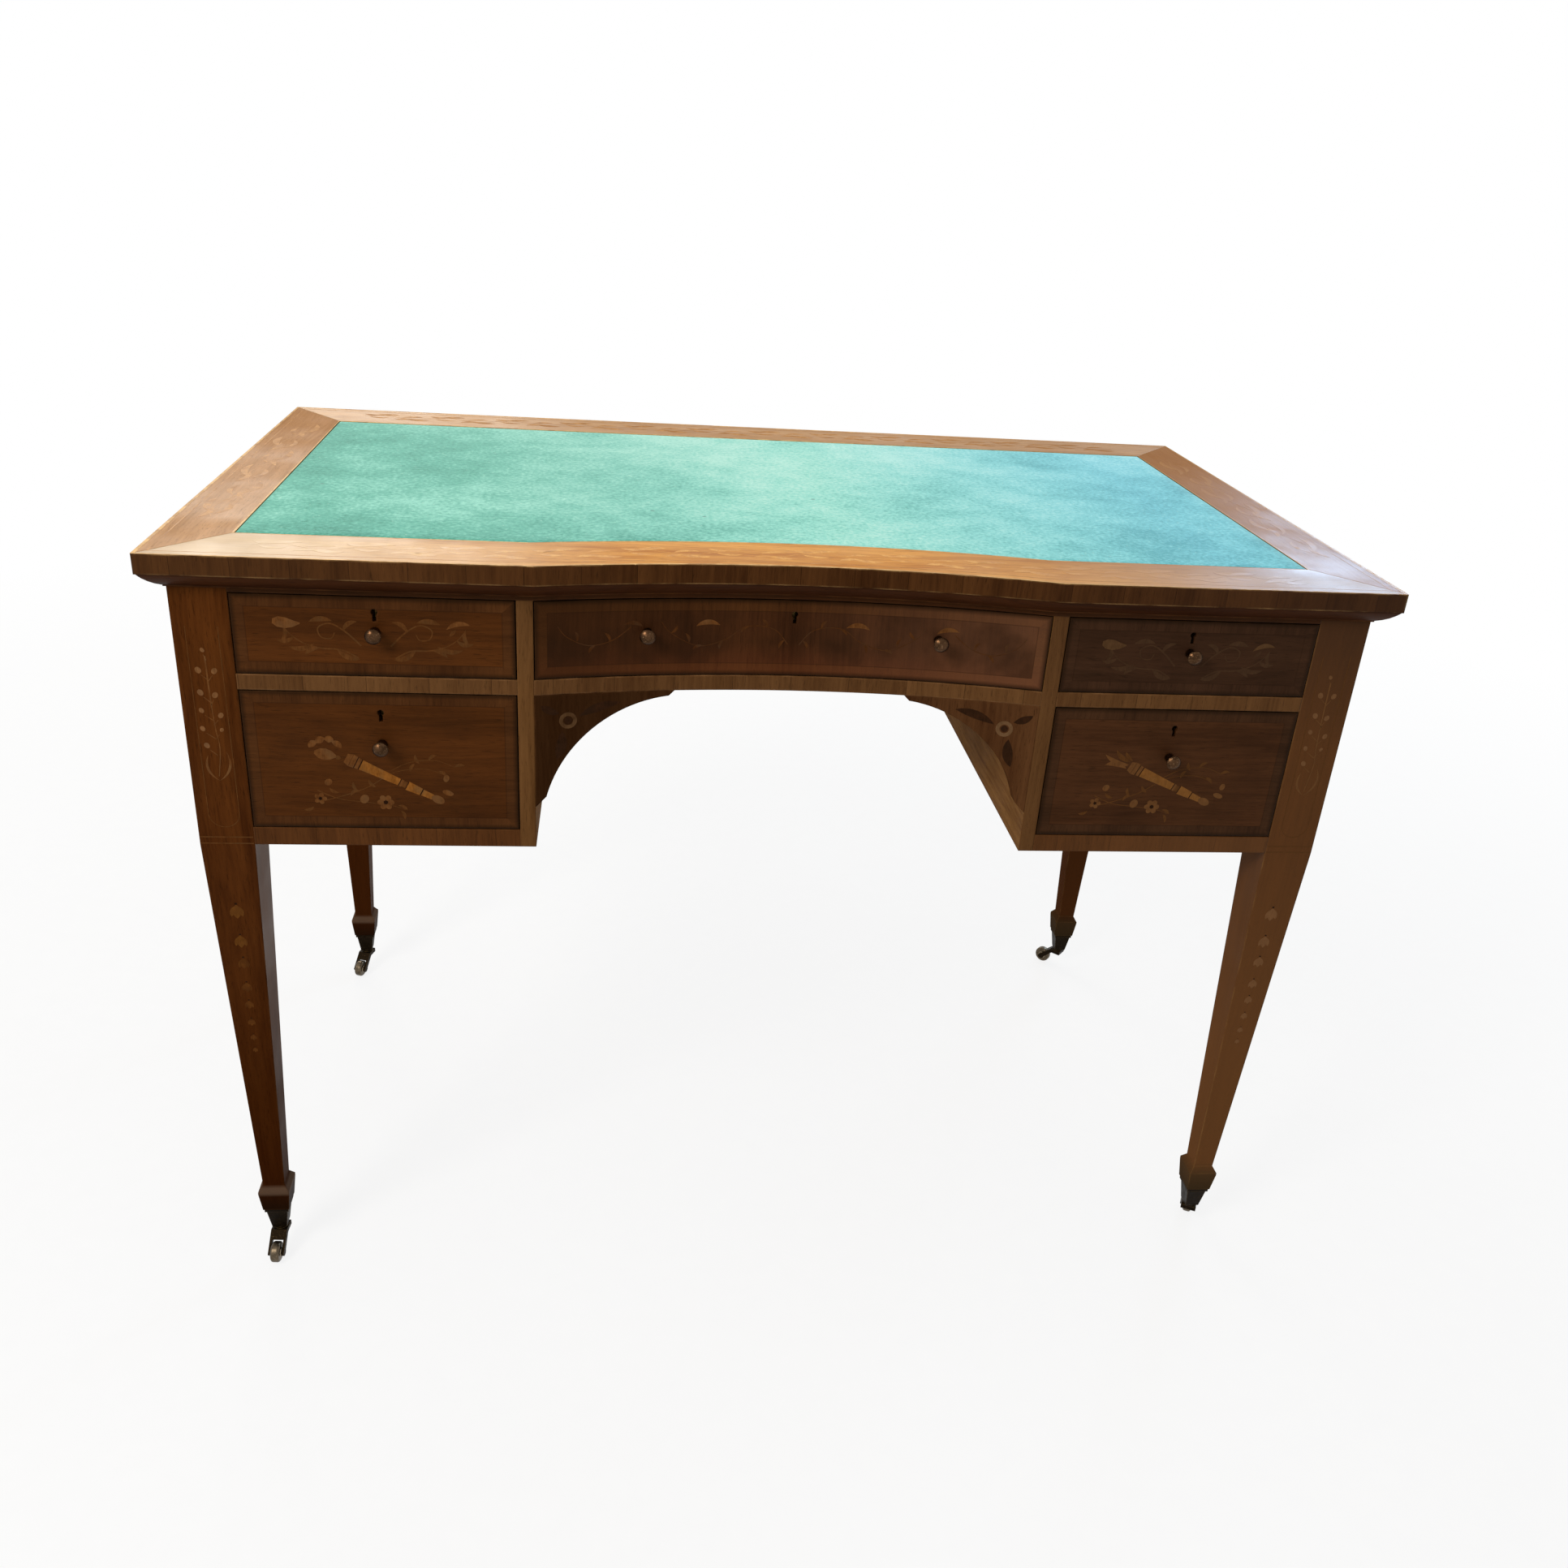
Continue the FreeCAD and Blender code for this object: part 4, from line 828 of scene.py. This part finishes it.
def inlay(name, body, lay, strokes):
    """One piece from all the strokes on a face: thin closed slips, let into the wood."""
    built = bmesh.new()
    for order, (kind, line, widths, closed) in enumerate(strokes):
        levels = (INLAY_LIFTS[kind] + INLAY_STEP * (order % INLAY_STEPS), -INLAY_SINK)
        rows = []
        count = len(line)
        for i, (point, wide) in enumerate(zip(line, widths)):
            before = line[i - 1] if i or closed else point
            after = line[(i + 1) % count] if i < count - 1 or closed else point
            way = (after - before).normalized()
            side = Vector((-way.y, way.x)) * wide / 2
            if closed:
                side /= max(0.5, math.cos((after - point).angle(point - before) / 2))
            row = []
            for edge in (point + side, point - side):
                where, out = lay(edge)
                row += [built.verts.new(where + out * level * MM) for level in levels]
            rows.append(row)
        pairs = list(zip(rows, rows[1:])) + ([(rows[-1], rows[0])] if closed else [])
        faces = []
        for (a, b, c, d), (e, f, g, h) in pairs:
            faces += [(a, c, g, e), (b, f, h, d), (a, e, f, b), (c, d, h, g)]
        if not closed:
            (a, b, c, d), (e, f, g, h) = rows[0], rows[-1]
            faces += [(a, b, d, c), (e, g, h, f)]
        for corners in faces:
            built.faces.new(corners).material_index = kind
    add_mesh(name, built, body, INLAY_WOODS)


# Drawings on the legs, by height from the foot of the block: berries on it, husks below, cuff strings between
BLOCK_FOOT = node_box("bottom_rails")[0].z
BERRIES = ((-1.4, 181.4, 4.6), (-6.7, 163.5, 6.8), (6.2, 163, 6.4), (-7, 143.5, 6.6), (4.6, 141.4, 6.4),
           (-7.9, 127.2, 5.6), (7.3, 123, 6), (-8.7, 110.6, 5.6), (6.7, 109.7, 4.4), (-7, 95, 6.2))
SPRAY_STEM = [(0, 176), (0.4, 142), (1.6, 112), (3.4, 92), (0, 66)]
HUSKS = (-63, -96, -121, -148.5, -169, -190, -208.5, -224)
HIGH_HUSKS = 2
LEFT_HUSKS, RIGHT_HUSKS = (GOLDEN, UMBER), (FADED, FADED)
CUFF_STRINGS = (7.0, 0.8)
CUFF_SPAN, CUFF_WIDE = 22.4, 1.1
PANEL_HALF, PANEL_FOOT, PANEL_TOP, PANEL_WIDE = 13, 30, 202, 0.7


def leg_spray():
    """A stalk of berries over a curled leaf."""
    parts = [stem(HOLLY, SPRAY_STEM, 1.3)]
    for x, z, size in BERRIES:
        parts += [dot(BERRY, (x, z), size * 0.9, size * 0.72, 60 if x > 0 else 120)]
        parts += [stem(HOLLY, [(0.8, z - 9), (x * 0.7, z - 4)], 0.9, 5)]
    return parts + [leaf(HOLLY, (0, 62), (-7, 86), 2.2, 0.2), leaf(HOLLY, (0.5, 62), (8, 90), 2.2, -0.2)]


def leg_panel():
    """The string panel on the block, with its rounded foot."""
    turns = spread(-math.pi / 2, math.pi / 2, 15)
    arc = [(PANEL_HALF * math.sin(a), PANEL_FOOT - PANEL_HALF * math.cos(a)) for a in turns]
    line = [(-PANEL_HALF, PANEL_TOP), *arc, (PANEL_HALF, PANEL_TOP)]
    return stroke(FAINT, line, [PANEL_WIDE] * len(line))


def leg_husks(high_kind, low_kind):
    """Husks that shrink down the leg; the lower ones may be of another wood."""
    parts = []
    for i, z in enumerate(HUSKS):
        parts += husk(high_kind if i < HIGH_HUSKS else low_kind, (0, z), 15 - 1.3 * i, 12.5 - 1.1 * i)
    return parts


def inlay_legs():
    """Cuff strings on the outer faces of each leg, and the drawings on the front legs."""
    cuffs = [bar(FAINT, (-CUFF_SPAN, z), (CUFF_SPAN, z), CUFF_WIDE, CUFF_WIDE) for z in CUFF_STRINGS]
    for corner in CORNERS:
        leg = f"leg_{corner}"
        low, high = node_box(leg)
        middle = (low + high) / 2
        end = -1 if "front" in corner else 1
        side = -1 if "left" in corner else 1
        husks = LEFT_HUSKS if side < 0 else RIGHT_HUSKS
        drawn = cuffs + ([*leg_spray(), leg_panel(), *leg_husks(*husks)] if end < 0 else [])
        lay = board(leg, (0, end, 0), (1, 0, 0))
        inlay(f"inlay_{leg}_face", "carcass", lay, moved(drawn, middle.x, BLOCK_FOOT))
        lay = board(leg, (side, 0, 0), (0, 1, 0))
        inlay(f"inlay_{leg}_side", "carcass", lay, moved(cuffs, middle.y, BLOCK_FOOT))


inlay_legs()

# Drawings on the deep drawers, about the middle of each: a burning torch on sprays of flowers.
# The torch, along +X from its mouth: wood, start and end of each length, and its widths there
TORCH = (
    (HOLLY, 8, 12.6, 9, 12.4), (HOLLY, 13, 17, 12.4, 11.4), (DARK, 17, 17.8, 11, 11), (HOLLY, 17.8, 21, 11, 10),
    (DARK, 21, 22, 10, 10), (SATINWOOD, 22, 57.5, 9.8, 6.8), (DARK, 57.5, 58.3, 6.8, 6.8),
    (HOLLY, 58.3, 60.6, 7, 7), (FAINT, 60.6, 64.2, 6, 6), (DARK, 64.2, 65, 6.8, 6.8),
    (SATINWOOD, 65, 78, 8.8, 7), (DARK, 78, 79, 6.6, 6.6), (SATINWOOD, 79, 89, 6.2, 5.2),
)
LEFT_TORCH = (-39.0, 7.0, -27.0)
RIGHT_TORCH = (-43.5, 10.8, -24.3)
FLAME_PLACE = (-48.8, 17.6)
RIGHT_SPRAYS = (-7.0, 5.0)
LEFT_BUDS = ((53.5, -29.0), (52.5, -15.0))
RIGHT_BUDS = ((62.0, -26.5), (64.5, -17.5))
TWIG_LEAVES = ((-40, -30, 150), (-30, -33, 40), (-24, -28, 110), (10, -42, -30), (22, -9, 60), (38, 2, 35),
               (46, -8, -40), (30, -1, 110), (60, -4, 10), (-62, -44, 200), (12, -47, -70), (-8, -24, 130))


def torch():
    parts = [bar(kind, (start, 0), (end, 0), *widths) for kind, start, end, *widths in TORCH]
    return parts + [dot(HOLLY, (94, 0), 12, 7.6)]


def arched_flame():
    """The flame on the left drawer: a bud under an arch of tongues."""
    tongues = (((-13, -5), (-6, 1), 6), ((-7, -1), (1, 4), 6.4), ((0, 3), (8, 1.5), 6.4), ((6, 1), (14, -5), 5.6))
    parts = [leaf(HOLLY, base, tip, wide, 0.12) for base, tip, wide in tongues]
    bud = stroke(HOLLY, [(-9, -9), (-5, -10), (0, -11), (5, -12), (9, -13)], [3, 9.5, 11, 8, 2])
    return parts + [bud, leaf(FAINT, (8, -13), (13, -15), 4)]


def fanned_flame():
    """The flame on the right drawer: tongues that fan out of the torch's mouth."""
    return [leaf(HOLLY, (-37, 9), (-61, 19), 4.6, 0.1), leaf(HOLLY, (-39, 5), (-60, 8.5), 5.4, -0.14),
            leaf(FAINT, (-36, 12), (-51, 23.5), 4.4, 0.12), leaf(HOLLY, (-38, 8), (-56, 13.5), 3.6, 0.05),
            leaf(FAINT, (-34, 13), (-42, 22), 3.6, 0.1)]


def sprays(low_bud, high_bud):
    """Flowering twigs that cross under the torch, with two buds right of it."""
    parts = [
        stem(FAINT, [(-60, -40), (-36, -33), (-14, -24), (8, -10), (34, -6), (52, -12)], 1.0, 25),
        stem(FAINT, [(-58, -28), (-40, -36), (-18, -39), (4, -42), (16, -46)], 0.9, 21),
        stem(FAINT, [(6, -8), (22, 0), (44, 2), (60, -4)], 0.8, 15),
        *flower(HOLLY, (-0.5, -39), 7.4, 6), *flower(HOLLY, (-56, -36), 5.6, 5),
        dot(HOLLY, (-18.5, -36), 9, 7.4, 60), dot(HOLLY, (-48, -20), 7, 6, 40),
        dot(HOLLY, low_bud, 10, 5, -20), dot(HOLLY, high_bud, 7, 5, 75),
    ]
    return parts + leaflets(FAINT, TWIG_LEAVES, 9, 3)


# Drawings on the shallow drawers, about the middle of each: scrolls of foliage
SCROLL_LEAVES = (
    ((34, 13), (53, 12), 4.6, 0.12), ((50, -7), (71, -10), 4.4, -0.15), ((32, -11), (14, -20), 4.8, 0.14),
    ((46, -11), (58, -17), 4.2, 0.15), ((26, 4), (14, 13), 4, -0.2), ((66, -1), (80, -4), 3.8, -0.2),
    ((74, 8), (77, -6), 3.4, -0.2),
)
CENTRE_SCROLL = [(5, -6), (18, 8), (42, 10), (60, -2), (84, -8), (108, 4), (116, 14)]
OUTER_SCROLL = [(142, 10), (158, -2), (178, -6), (196, 2), (204, 12)]
CENTRE_LEAFLETS = ((24, 9, 60), (40, 10, -40), (62, -3, -70), (80, -8, -20), (92, -5, 70), (160, -3, 60),
                   (172, -6, -50), (188, -2, 80), (8, -2, -60), (108, 4, 130))
CENTRE_LEAVES = ((HOLLY, (-86, 10), (-65, 11), 4.6), (HOLLY, (46, 11), (67, 10), 4.6),
                 (HOLLY, (126, 10), (145, 13), 4.4), (DIM, (-148, 12), (-132, 10), 3.6))


def scrolls():
    """A pair of scrolls, with a bud that ends them on the left and a leaf on the right."""
    half = [
        stem(FAINT, [(12, -8), (24, 4), (36, 11), (46, 7), (44, -1), (36, -2), (33, 3)], 1.5, 29),
        stem(FAINT, [(15, -19), (28, -12), (44, -11), (58, -7), (68, 0), (74, 8)], 1.5, 23),
        *(leaf(FAINT, *place) for place in SCROLL_LEAVES),
    ]
    bud = stroke(HOLLY, [(-82, 12), (-78, 11.5), (-72, 10.5), (-66, 10), (-60, 10.5)], [4, 9, 9.5, 6, 1])
    return mirrored(half) + [bud, leaf(HOLLY, (58, 8), (78, 12), 4.4, 0.16), leaf(FAINT, (66, 8), (60, 2), 3)]


def centre_scrolls():
    """The long scrolls on the middle drawer, and their paler leaves, which fall unevenly."""
    half = [stem(DIM, CENTRE_SCROLL, 0.9, 31), stem(DIM, OUTER_SCROLL, 0.9, 21)]
    half += leaflets(DIM, CENTRE_LEAFLETS, 9, 2.6)
    return mirrored(half) + [leaf(kind, base, tip, wide, 0.16) for kind, base, tip, wide in CENTRE_LEAVES]


# The inlay of the upper right drawer is in darker woods, with its ground: painted shade
RIGHT_SHADE_INLAY = {HOLLY: RING, FAINT: GHOST}


def inlay_drawers():
    left_torch = moved(torch(), *LEFT_TORCH) + moved(arched_flame(), *FLAME_PLACE) + sprays(*LEFT_BUDS)
    right_torch = moved(torch(), *RIGHT_TORCH) + fanned_flame() + moved(sprays(*RIGHT_BUDS), *RIGHT_SPRAYS)
    right_shade_scrolls = [(RIGHT_SHADE_INLAY[kind], *rest) for kind, *rest in scrolls()]
    drawings = {"upper_left": scrolls(), "upper_right": right_shade_scrolls, "lower_left": left_torch,
                "lower_right": right_torch, "centre": centre_scrolls()}
    for drawer, drawn in drawings.items():
        front = f"drawer_{drawer}_front"
        low, high = node_box(front)
        middle = (low + high) / 2
        placed = moved(drawn, middle.x, middle.z)
        inlay(f"inlay_drawer_{drawer}", f"drawer_{drawer}", front_board(front), placed)


inlay_drawers()

# Drawings on the brackets, from their outer upper corner
BRACKET_FLOWER = (28.5, -25.0)
BRACKET_LEAVES = (((38, -21.5), (74, -10), 8), ((23.5, -35), (18.5, -62), 9.5), ((21, -18), (5, -10), 7))


def inlay_brackets():
    """A ring flower in the corner of each bracket, and shaded leaves into its points."""
    low, high = node_box("kneehole_brackets")
    drawn = [leaf(SHADED, base, tip, wide, 0.06) for base, tip, wide in BRACKET_LEAVES]
    drawn += [dot(SHADED, BRACKET_FLOWER, 6.4, 6.4)]
    left, right = [[*drawn, ring(kind, BRACKET_FLOWER, 6.0, 3.4)] for kind in (RING, FLOWER)]
    both = moved(left, low.x, high.z) + moved(right, high.x, high.z, mirror=-1)
    inlay("inlay_brackets", "carcass", front_board("kneehole_brackets"), both)


inlay_brackets()

# Strings and vines on the border of the top; a vine is its length, the pitch of its bends and their swing
ARRIS_WIDE = 2.6
STRING_WIDE = 1.5
LINE_INSET, LINE_WIDE = 10, 1.0
VINE_WIDE = 0.8
END_VINE, END_VINE_Y = (400, 130, 7), 10
LONG_VINE = (900, 75, 8)


def vine(length, pitch, swing):
    """A winding stem along +X with a spray of leaves in each bend, about its middle."""
    bends = round(length / pitch)
    reach = length / bends / 4
    points = [(-length / 2 + reach * i, swing * math.sin(math.pi * i / 2)) for i in range(4 * bends + 1)]
    line = smooth(points, 4 * len(points))
    parts = [stroke(TOP_PALE, line, [VINE_WIDE] * len(line))]
    for i, (x, z) in list(enumerate(points))[1::2]:
        way = 1 if i % 4 == 1 else -1
        rise = way * swing
        for base, tip, wide, bow in (
            ((x - reach * 0.5, z - rise * 0.4), (x + reach, z + rise * 0.5), 1.0, 0.12),
            ((x, z), (x - reach * 1.1, z + rise * 0.6), 0.8, 0.12),
            ((x - reach * 0.7, z - rise), (x + reach * 0.5, z - rise * 1.5), 0.7, -0.15),
        ):
            parts.append(leaf(TOP_PALE, base, tip, swing * wide, way * bow))
    return parts


def inlay_top():
    """Strings round the top and the field, and vines along the four sides of the border."""
    level = TOP_HIGH.z * MM
    front, side, back = FIELD_INSET

    def lay(point):
        return Vector((point.x * MM, point.y * MM, level)), UP

    strings = [
        loop(BOXWOOD, rim(*[ARRIS_WIDE / 2] * 3), ARRIS_WIDE),
        loop(TOP_PALE, rim(*[LINE_INSET] * 3), LINE_WIDE),
        loop(BOXWOOD, rim(*[inset - STRING_WIDE / 2 for inset in FIELD_INSET]), STRING_WIDE),
    ]
    inlay("inlay_top_strings", "carcass", lay, strings)
    ends, long = vine(*END_VINE), vine(*LONG_VINE)
    end_x = TOP_HIGH.x - side / 2
    middle_radius = HOLLOW_RADIUS + front / 2

    def follow_front(point):
        edge = HOLLOW_CENTRE_Y + math.sqrt(middle_radius**2 - point.x**2)
        return Vector((point.x, point.y + max(edge, TOP_LOW.y + front / 2)))

    drawn = moved(ends, -end_x, END_VINE_Y, 90) + moved(ends, end_x, END_VINE_Y, 90, -1)
    drawn += moved(long, 0, TOP_HIGH.y - back / 2)
    drawn += [(FRONT_VINE, [follow_front(p) for p in line], *rest) for _, line, *rest in long]
    inlay("inlay_top_vine", "carcass", lay, drawn)


inlay_top()

# The stage, in metres: a pale floor and a white surround that keep the shadow, and soft lamps
FLOOR_HALF = 30.0
SURROUND_STRENGTH = 0.52
SURROUND_COLOUR = (1.0, 0.98, 0.95, 1.0)
WHITE = (1.0, 1.0, 1.0, 1.0)
# Each lamp: place, aim, width and height, watts, colour
LAMPS = {
    "key": ((-1.8, -1.8, 2.3), (0, -0.1, 0.65), (0.9, 0.9), 52, (1.0, 0.95, 0.88)),
    "overhead": ((0.1, 0.5, 2.7), (0, 0, 0.76), (2.4, 1.8), 15, (1.0, 0.97, 0.92)),
    "window_left": ((-0.95, 2.6, 1.75), (0, 0, 0.7), (1.0, 0.7), 18, (1.0, 0.93, 0.82)),
    "window_right": ((2.0, 2.3, 1.6), (0.3, 0, 0.7), (0.7, 0.8), 24, (0.46, 0.7, 1.0)),
}


def seen_directly(nodes):
    """1 for rays from the camera, or mirrored or refracted to it, and 0 for the light that falls on the object."""
    seen = 0.0
    for kind in ("Camera", "Glossy", "Transmission"):
        seen = nodes.math("MAXIMUM", seen, nodes.add("LightPath", output=f"Is {kind} Ray"))
    return seen


def floor():
    """A wide pale floor that glows towards white where it is seen, most of all away from the object."""
    built = bmesh.new()
    corners = ((-1, -1), (1, -1), (1, 1), (-1, 1))
    built.faces.new([built.verts.new((x * FLOOR_HALF, y * FLOOR_HALF, 0)) for x, y in corners])
    look = Finish("floor_white")
    grey = look.fit(look.noise(look.place, 40.0, 3.0), 0.3, 0.7, 0.7, 0.74)
    colour = look.add("CombineColor", {0: grey, 1: grey, 2: grey})
    look.set(Base_Color=colour, Roughness=0.9, Specular_IOR_Level=0.0)
    glow = look.add("Emission", {"Color": WHITE, "Strength": 1.0})
    away = look.vector("LENGTH", look.place, (0.0, 0.0, 0.0), output="Value")
    share = look.times(seen_directly(look), look.fit(away, 0.9, 2.6, 0.84, 1.0))
    look.show("Material Output", look.add("MixShader", {0: share, 1: look.shader.outputs[0], 2: glow}))
    made("floor", built, [look.material])


def surround():
    """A soft warm surround to light the object, which is white where it is seen."""
    world = bpy.data.worlds.new("surround")
    bpy.context.scene.world = world
    nodes = Nodes(world)
    soft = nodes.tree.nodes["Background"]
    nodes.feed(soft.inputs["Color"], SURROUND_COLOUR)
    nodes.feed(soft.inputs["Strength"], SURROUND_STRENGTH)
    white = nodes.add("Background", {"Color": WHITE})
    nodes.show("World Output", nodes.add("MixShader", {0: seen_directly(nodes), 1: soft.outputs[0], 2: white}))


def softbox(name, place, aim, size, watts, colour):
    """A rectangular lamp."""
    lamp = bpy.data.lights.new(name, "AREA")
    lamp.shape = "RECTANGLE"
    lamp.size, lamp.size_y = size
    lamp.energy = watts
    lamp.color = colour
    holder = in_scene(name, lamp)
    holder.location = place
    holder.rotation_euler = (Vector(aim) - Vector(place)).to_track_quat("-Z", "Y").to_euler()


# The viewpoint, found by fitting the table's corners to the photograph, in metres and radians
CAMERA_PLACE = (-0.15062, -1.40138, 1.08667)
CAMERA_YAW, CAMERA_PITCH, CAMERA_ROLL = -0.132, -0.443, 0.071
PHOTO_WIDE = 1932
FOCAL_PIXELS = 1697.744
SENSOR = 36.0


def camera():
    """The photograph's viewpoint."""
    data = bpy.data.cameras.new("viewpoint")
    data.sensor_width = SENSOR
    data.lens = FOCAL_PIXELS / PHOTO_WIDE * SENSOR
    holder = in_scene("viewpoint", data)
    place = Matrix.Translation(CAMERA_PLACE)
    for angle, axis in ((CAMERA_YAW, "Z"), (math.pi / 2 + CAMERA_PITCH, "X"), (CAMERA_ROLL, "Z")):
        place @= Matrix.Rotation(angle, 4, axis)
    holder.matrix_world = place
    bpy.context.scene.camera = holder


floor()
surround()
for lamp, settings in LAMPS.items():
    softbox(lamp, *settings)
camera()
bpy.context.scene.view_settings.view_transform = "Standard"
